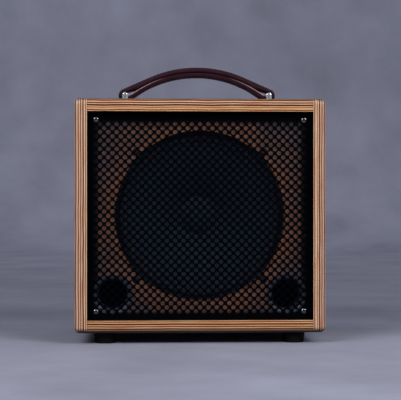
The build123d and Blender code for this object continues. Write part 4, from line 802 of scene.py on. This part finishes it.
def handleStations():   # pairs of (outer, inner) points from the middle to the right end, for each layer
    loop, eye = handleLook["loopRadius"], handleLook["eyeRadius"]
    meetAngle, backingEnd = math.radians(handleLook["meet"]), math.radians(handleLook["backingAngle"])
    meet, underEnd = onArc(seamRadius, meetAngle), onArc(underRadius, backingEnd)
    topEnd, loopTop = onArc(gripRadius, bend), roundPin(loop, math.pi / 2 - bend)
    over, under, last = touching(meet, eye, 1), touching(meet, eye, -1), touching(underEnd, loop, -1)
    along = loopTop - topEnd
    abreast = topEnd + along * float(np.dot(meet - topEnd, along) / np.dot(along, along))
    strap = [(onArc(gripRadius, a), onArc(seamRadius, a)) for a in np.linspace(0, bend, 26)]
    bearings = np.linspace(bend, meetAngle, 8)[1:]
    strap += list(zip(between(topEnd, abreast, 8)[1:], [onArc(seamRadius, a) for a in bearings]))
    strap += paired((abreast, loopTop), (meet, roundPin(eye, over)), 9)
    outer = np.linspace(math.pi / 2 - bend, last - (2 * math.pi if last > 0 else 0), 21)[1:]
    inner = np.linspace(over, under - (2 * math.pi if under > 0 else 0), 21)[1:]
    strap += [(roundPin(loop, a), roundPin(eye, b)) for a, b in zip(outer, inner)]
    backing = [(onArc(seamRadius, a), onArc(underRadius, a)) for a in np.linspace(0, backingEnd, 30)]
    backing += paired((onArc(seamRadius, backingEnd), meet), (underEnd, underEnd), 3)
    backing += paired((meet, roundPin(eye, under)), (underEnd, roundPin(loop, last)), 12)
    return strap, backing


def bandSection(half, thickness, crown, roll, dome):   # closed outline of (across, up), crowned above
    outline = []
    corners = [(1, 0, roll, -90), (1, 1, crown, 0), (-1, 1, crown, 90), (-1, 0, roll, 180)]
    for side, upper, radius, start in corners:
        r = min(radius, 0.49 * thickness)
        x, y = side * (half - r), thickness - r if upper else r
        turns = np.radians(np.linspace(start, start + 90, 6))
        outline += [[x + r * math.cos(a), y + r * math.sin(a)] for a in turns]
        if side == 1 and upper:
            outline += [[x * s, thickness] for s in np.linspace(0.75, -0.75, 7)]
        if side == -1 and not upper:
            outline += [[x * s, 0.0] for s in np.linspace(0.75, -0.75, 7)]
    return [(x, y - dome * (x / half) ** 2 * (y / thickness)) for x, y in outline]


def sweptBand(name, stations, finish, half, crown, roll, dome):
    mirrored = [tuple(p * np.array([-1, 1]) for p in pair) for pair in stations[:0:-1]]
    loops = []
    for outer, inner in mirrored + list(stations):
        thickness = float(np.linalg.norm(outer - inner))
        away = (outer - inner) / thickness
        loop = []
        for across, up in bandSection(half, thickness, crown, roll, dome):
            x, z = inner + away * up
            loop.append((x * mm, across * mm, (arcCentreZ + z) * mm))
        loops.append(loop)
    return placeMesh(name, skin(name, loops), finish)


def stitchRow():
    tree, add, given = startTree("stitchRow", {
        "Path": "Object", "Pitch": "Float", "Length": "Float", "Thickness": "Float", "Finish": "Material"})
    path = add("GeometryNodeObjectInfo", {"Object": given["Path"]}).outputs["Geometry"]
    points = add("GeometryNodeCurveToPoints", {"Curve": path, "Length": given["Pitch"]}, mode="LENGTH")
    aim = add("FunctionNodeAlignRotationToVector", {"Vector": points.outputs["Tangent"]}, axis="X")
    bead = add("GeometryNodeMeshUVSphere", {"Segments": 8, "Rings": 5, "Radius": 0.5})
    size = add("CombineXYZ", [given["Length"], given["Thickness"], given["Thickness"]])
    stitches = add("GeometryNodeInstanceOnPoints", {
        "Points": points, "Instance": bead, "Rotation": aim, "Scale": size})
    return endTree(tree, stitches, given["Finish"])


def buildHandle():
    strap, backing = handleStations()
    look = handleLook
    upper = sweptBand("handleStrap", strap, leather, strapHalf, look["crown"], look["roll"], look["dome"])
    lower = sweptBand("handleBacking", backing, leather, strapHalf - look["backingInset"],
                      look["backingCrown"], look["backingRoll"], 0.0)
    strip = []
    for outer, inner in backing[:look["edgeEnd"]]:
        down = (inner - outer) / np.linalg.norm(inner - outer)
        strip.append((outer, outer + down * look["edgeThickness"]))
    edge = sweptBand("handleCutEdge", strip, leatherEdge, strapHalf + look["edgeProud"],
                     look["edgeRound"], look["edgeRound"], 0.0)
    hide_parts("handle_strap")
    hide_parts("handle_backing")
    tree = stitchRow()
    runs = {"Under": [inner for outer, inner in backing[:look["underSeamEnd"]]],
            "Top": [outer for outer, inner in strap[:look["topSeamEnd"]]]}
    for label, run in runs.items():
        line = [p * np.array([-1, 1]) for p in run[:0:-1]] + run
        path = bpy.data.curves.new("stitchPath" + label, "CURVE")
        path.dimensions = "3D"
        lift = look["dome"] * (1 - look["stitchInset"] / strapHalf) ** 2 if label == "Top" else 0.0
        for side in (-1, 1):
            spline = path.splines.new("POLY")
            spline.points.add(len(line) - 1)
            for k, (x, z) in enumerate(line):
                sink = lift / np.hypot(x, z)
                y = side * (strapHalf - look["stitchInset"])
                spline.points[k].co = (x * (1 - sink) * mm, y * mm, (arcCentreZ + z * (1 - sink)) * mm, 1.0)
        guide = linked("stitchPath" + label, path)
        made = grown("stitches" + label, tree, {
            "Path": guide, "Pitch": look["stitchPitch"] * mm, "Length": look["stitchLength"] * mm,
            "Thickness": look["stitchThickness"] * mm, "Finish": thread}, [guide])
        made.data.shade_smooth()
    print("handle:", len(upper.data.polygons) + len(lower.data.polygons), "faces, stitched on both sides")


buildHandle()


# Pressed handle brackets: a base plate with two ears whose rims stand up round a sunken middle

bracketLook = {"earWidth": 8.0, "earThickness": 2.0, "baseLength": 24.0, "dish": 0.75, "rim": 0.7,
               "cornerRound": 6.0}


def earOutline(half, height, inset):   # an arch about x = 0 with its feet on z = 0
    r = half - inset
    arch = [(r * math.cos(a), height + r * math.sin(a)) for a in np.linspace(0, math.pi, 17)]
    side = list(np.linspace(inset * 0.3, height, 7))[:-1]
    return [(r, z) for z in side] + arch + [(-r, z) for z in side[::-1]]


def pressedEar(x, inner, outer, foot, height):
    half, rim, dish = bracketLook["earWidth"] / 2, bracketLook["rim"], bracketLook["dish"]
    away = 1 if outer > inner else -1
    # how far in from the edge, and how far below the outer face; the first two are at the inner face
    steps = [(0.35, inner), (0.0, inner + away * 0.35)]
    steps += [(inset, outer - away * below) for inset, below in (
        (0.0, 0.5), (0.15, 0.15), (0.45, 0.0), (rim, 0.0), (rim + 0.4, dish * 0.55), (rim + 0.8, dish),
        (half - 1.0, dish * 1.05))]
    return skin("ear", [
        [((x + px) * mm, y * mm, (foot + pz) * mm) for px, pz in earOutline(half, height, inset)]
        for inset, y in steps])


def basePlate(x, low, high, foot):
    halfX, halfY, thick = bracketLook["baseLength"] / 2, (high - low) / 2, bracketLook["earThickness"]
    loops = []
    for inset, z in ((0.0, 0.0), (0.0, thick - 0.5), (0.15, thick - 0.15), (0.5, thick)):
        r = bracketLook["cornerRound"] - inset
        loop = []
        for sx, sy, start in ((1, 1, 0), (-1, 1, 90), (-1, -1, 180), (1, -1, 270)):
            for a in np.radians(np.linspace(start, start + 90, 7)):
                loop.append(((x + sx * (halfX - inset - r) + r * math.cos(a)) * mm,
                             (sy * (halfY - inset - r) + r * math.sin(a)) * mm, (foot + z) * mm))
        loops.append(loop)
    return skin("base", loops)


def buildBrackets():
    for side, node in ((-1, "handle_bracket_left"), (1, "handle_bracket_right")):
        low, high = boxOf[node]
        foot, x = low.z / mm, side * pinX
        inner = pinHigh.y / mm - bracketLook["earThickness"]
        height = (pinLow.z + pinHigh.z) / 2 / mm - foot
        parts = [pressedEar(x, s * inner, s * pinHigh.y / mm, foot, height) for s in (-1, 1)]
        parts.append(basePlate(x, low.y / mm, high.y / mm, foot))
        whole = bmesh.new()
        for part in parts:
            whole.from_mesh(part)
            bpy.data.meshes.remove(part)
        mesh = bpy.data.meshes.new("bracket")
        whole.to_mesh(mesh)
        whole.free()
        mesh.shade_smooth()
        made = placeMesh("handleBracket" + ("Left" if side < 0 else "Right"), mesh, chrome)
        sharpen(mesh, 50)
        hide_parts(node)
    print("two pressed brackets")


buildBrackets()


# Speaker suspension: the cloth surround and the corrugated spider, stretched between frame and cone

suspension = {
    "flat": 8.0, "roll": 5.0, "rollSteps": 31, "lap": (0.2, 2.0, 4.0), "sheet": 1.0, "surroundSheet": 0.98,
    "ribs": 3, "ribHeight": 0.35, "waves": 4.5, "waveHeight": 0.95, "waveSteps": 55, "coil": 19.2,
    "neck": 46.0, "spiderSheet": 0.8, "sectors": 16, "stepsInSector": 6,
}


def stretchedRing(name, line, thickness, finish, node):
    # A cloth ring drawn by its front line of (radius, y), made in sectors
    count, steps = suspension["sectors"], suspension["stepsInSector"]
    outline = line + [(r, y + thickness) for r, y in reversed(line)]

    def at(radius, along, angle):
        return radius * mm * math.cos(angle), along * mm, speakerZ + radius * mm * math.sin(angle)

    for k in range(count):
        label = name + str(k + 1)
        turns = [2 * math.pi * (k + step / steps) / count for step in range(steps + 1)]
        mesh = skin(label, [[at(r, y, turn) for r, y in outline] for turn in turns])
        sharpen(mesh, 60)
        mesh.materials.append(finish)
        sector = linked(label, mesh)
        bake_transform(sector)
        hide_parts(node)


def buildSuspension():
    look = suspension
    outer, back = boxOf["speaker_surround"][1].x / mm, boxOf["speaker_surround"][1].y / mm
    front, roll = back - look["sheet"], look["roll"]
    middle = outer - look["flat"] - roll
    inner = middle - roll
    line = [(outer, front), (outer - look["flat"] * 0.5, front), (middle + roll + 0.2, front)]
    for a in np.linspace(0, math.pi, look["rollSteps"]):
        swell = roll - look["ribHeight"] * (1 - math.cos(2 * look["ribs"] * a)) / 2
        line.append((middle + swell * math.cos(a), front - swell * math.sin(a)))
    line += [(inner - lap, front) for lap in look["lap"]]
    stretchedRing("speakerSurround", line, look["surroundSheet"], surroundCloth,
                  "speaker_surround")
    ledge, back = boxOf["speaker_spider"][1].x / mm, boxOf["speaker_spider"][1].y / mm
    top = back - look["spiderSheet"] - 0.02
    level = back - look["sheet"] - look["waveHeight"]
    line = [(ledge, top), (look["neck"] + 1.0, top)]
    for t in np.linspace(0, 1, look["waveSteps"]):
        r = look["neck"] - (look["neck"] - look["coil"] - 0.1) * t
        line.append((r, level + look["waveHeight"] * math.cos(2 * math.pi * look["waves"] * t)))
    stretchedRing("speakerSpider", line, look["spiderSheet"], spiderCloth,
                  "speaker_spider")
    print("surround and spider hung between frame and cone")


buildSuspension()


# Dial marks round each knob and a white line on each pointer

dialLook = {
    "marks": 11, "sweep": 300.0, "radius": 16.2, "length": 2.4, "width": 0.7, "ink": 0.12, "arcSteps": 64,
    "lineWidth": 0.9, "lineTaper": 0.7, "lineFrom": 2.0, "lineTo": 13.2,
}


def dialMarks():
    tree, add, given = startTree("dialMarks", {
        "Place": "Vector", "Radius": "Float", "Sweep": "Float", "Marks": "Int", "Size": "Vector",
        "Finish": "Material"})
    half = add("Math", [given["Sweep"], -0.5, math.pi / 2], operation="MULTIPLY_ADD")
    arc = add("GeometryNodeCurveArc", {
        "Resolution": dialLook["arcSteps"], "Radius": given["Radius"], "Start Angle": half,
        "Sweep Angle": given["Sweep"]})
    points = add("GeometryNodeCurveToPoints", {"Curve": arc, "Count": given["Marks"]}, mode="COUNT")
    aim = add("FunctionNodeAlignRotationToVector", {"Vector": points.outputs["Tangent"]}, axis="Y")
    mark = add("GeometryNodeMeshCube", {"Size": given["Size"]})
    marks = add("GeometryNodeInstanceOnPoints", {"Points": points, "Instance": mark, "Rotation": aim})
    placed = add("GeometryNodeTransform", {0: marks, "Translation": given["Place"]})
    return endTree(tree, placed, given["Finish"])


def buildDials():
    tree = dialMarks()
    look = dialLook
    panelZ = boxOf["control_panel"][1].z
    half, ink, taper = look["lineWidth"] / 2 * mm, look["ink"] * mm, look["lineTaper"]
    for name in ("gain", "tone", "volume"):
        shaftLow, shaftHigh = boxOf["shaft_" + name]
        x, y = (shaftLow.x + shaftHigh.x) / 2, (shaftLow.y + shaftHigh.y) / 2
        made = grown(name + "Marks", tree, {
            "Place": (x, y, panelZ + ink / 2), "Radius": look["radius"] * mm, "Marks": look["marks"],
            "Sweep": math.radians(look["sweep"]), "Size": (look["length"] * mm, look["width"] * mm, ink),
            "Finish": dialPaint})
        top = boxOf["knob_" + name][1].z
        loops = []
        for inset, z in ((0.0, top - ink), (0.0, top + 0.4 * ink), (0.15 * mm, top + ink)):
            near, far = y + look["lineFrom"] * mm + inset, y + look["lineTo"] * mm - inset
            wide, slim = half - inset, half * taper - inset
            loops.append([(x - wide, near, z), (x + wide, near, z), (x + slim, far, z), (x - slim, far, z)])
        line = placeMesh(name + "PointerLine", skin("pointerLine", loops), dialPaint, name + "_control")
    print("dial marks and pointer lines on three knobs")


buildDials()
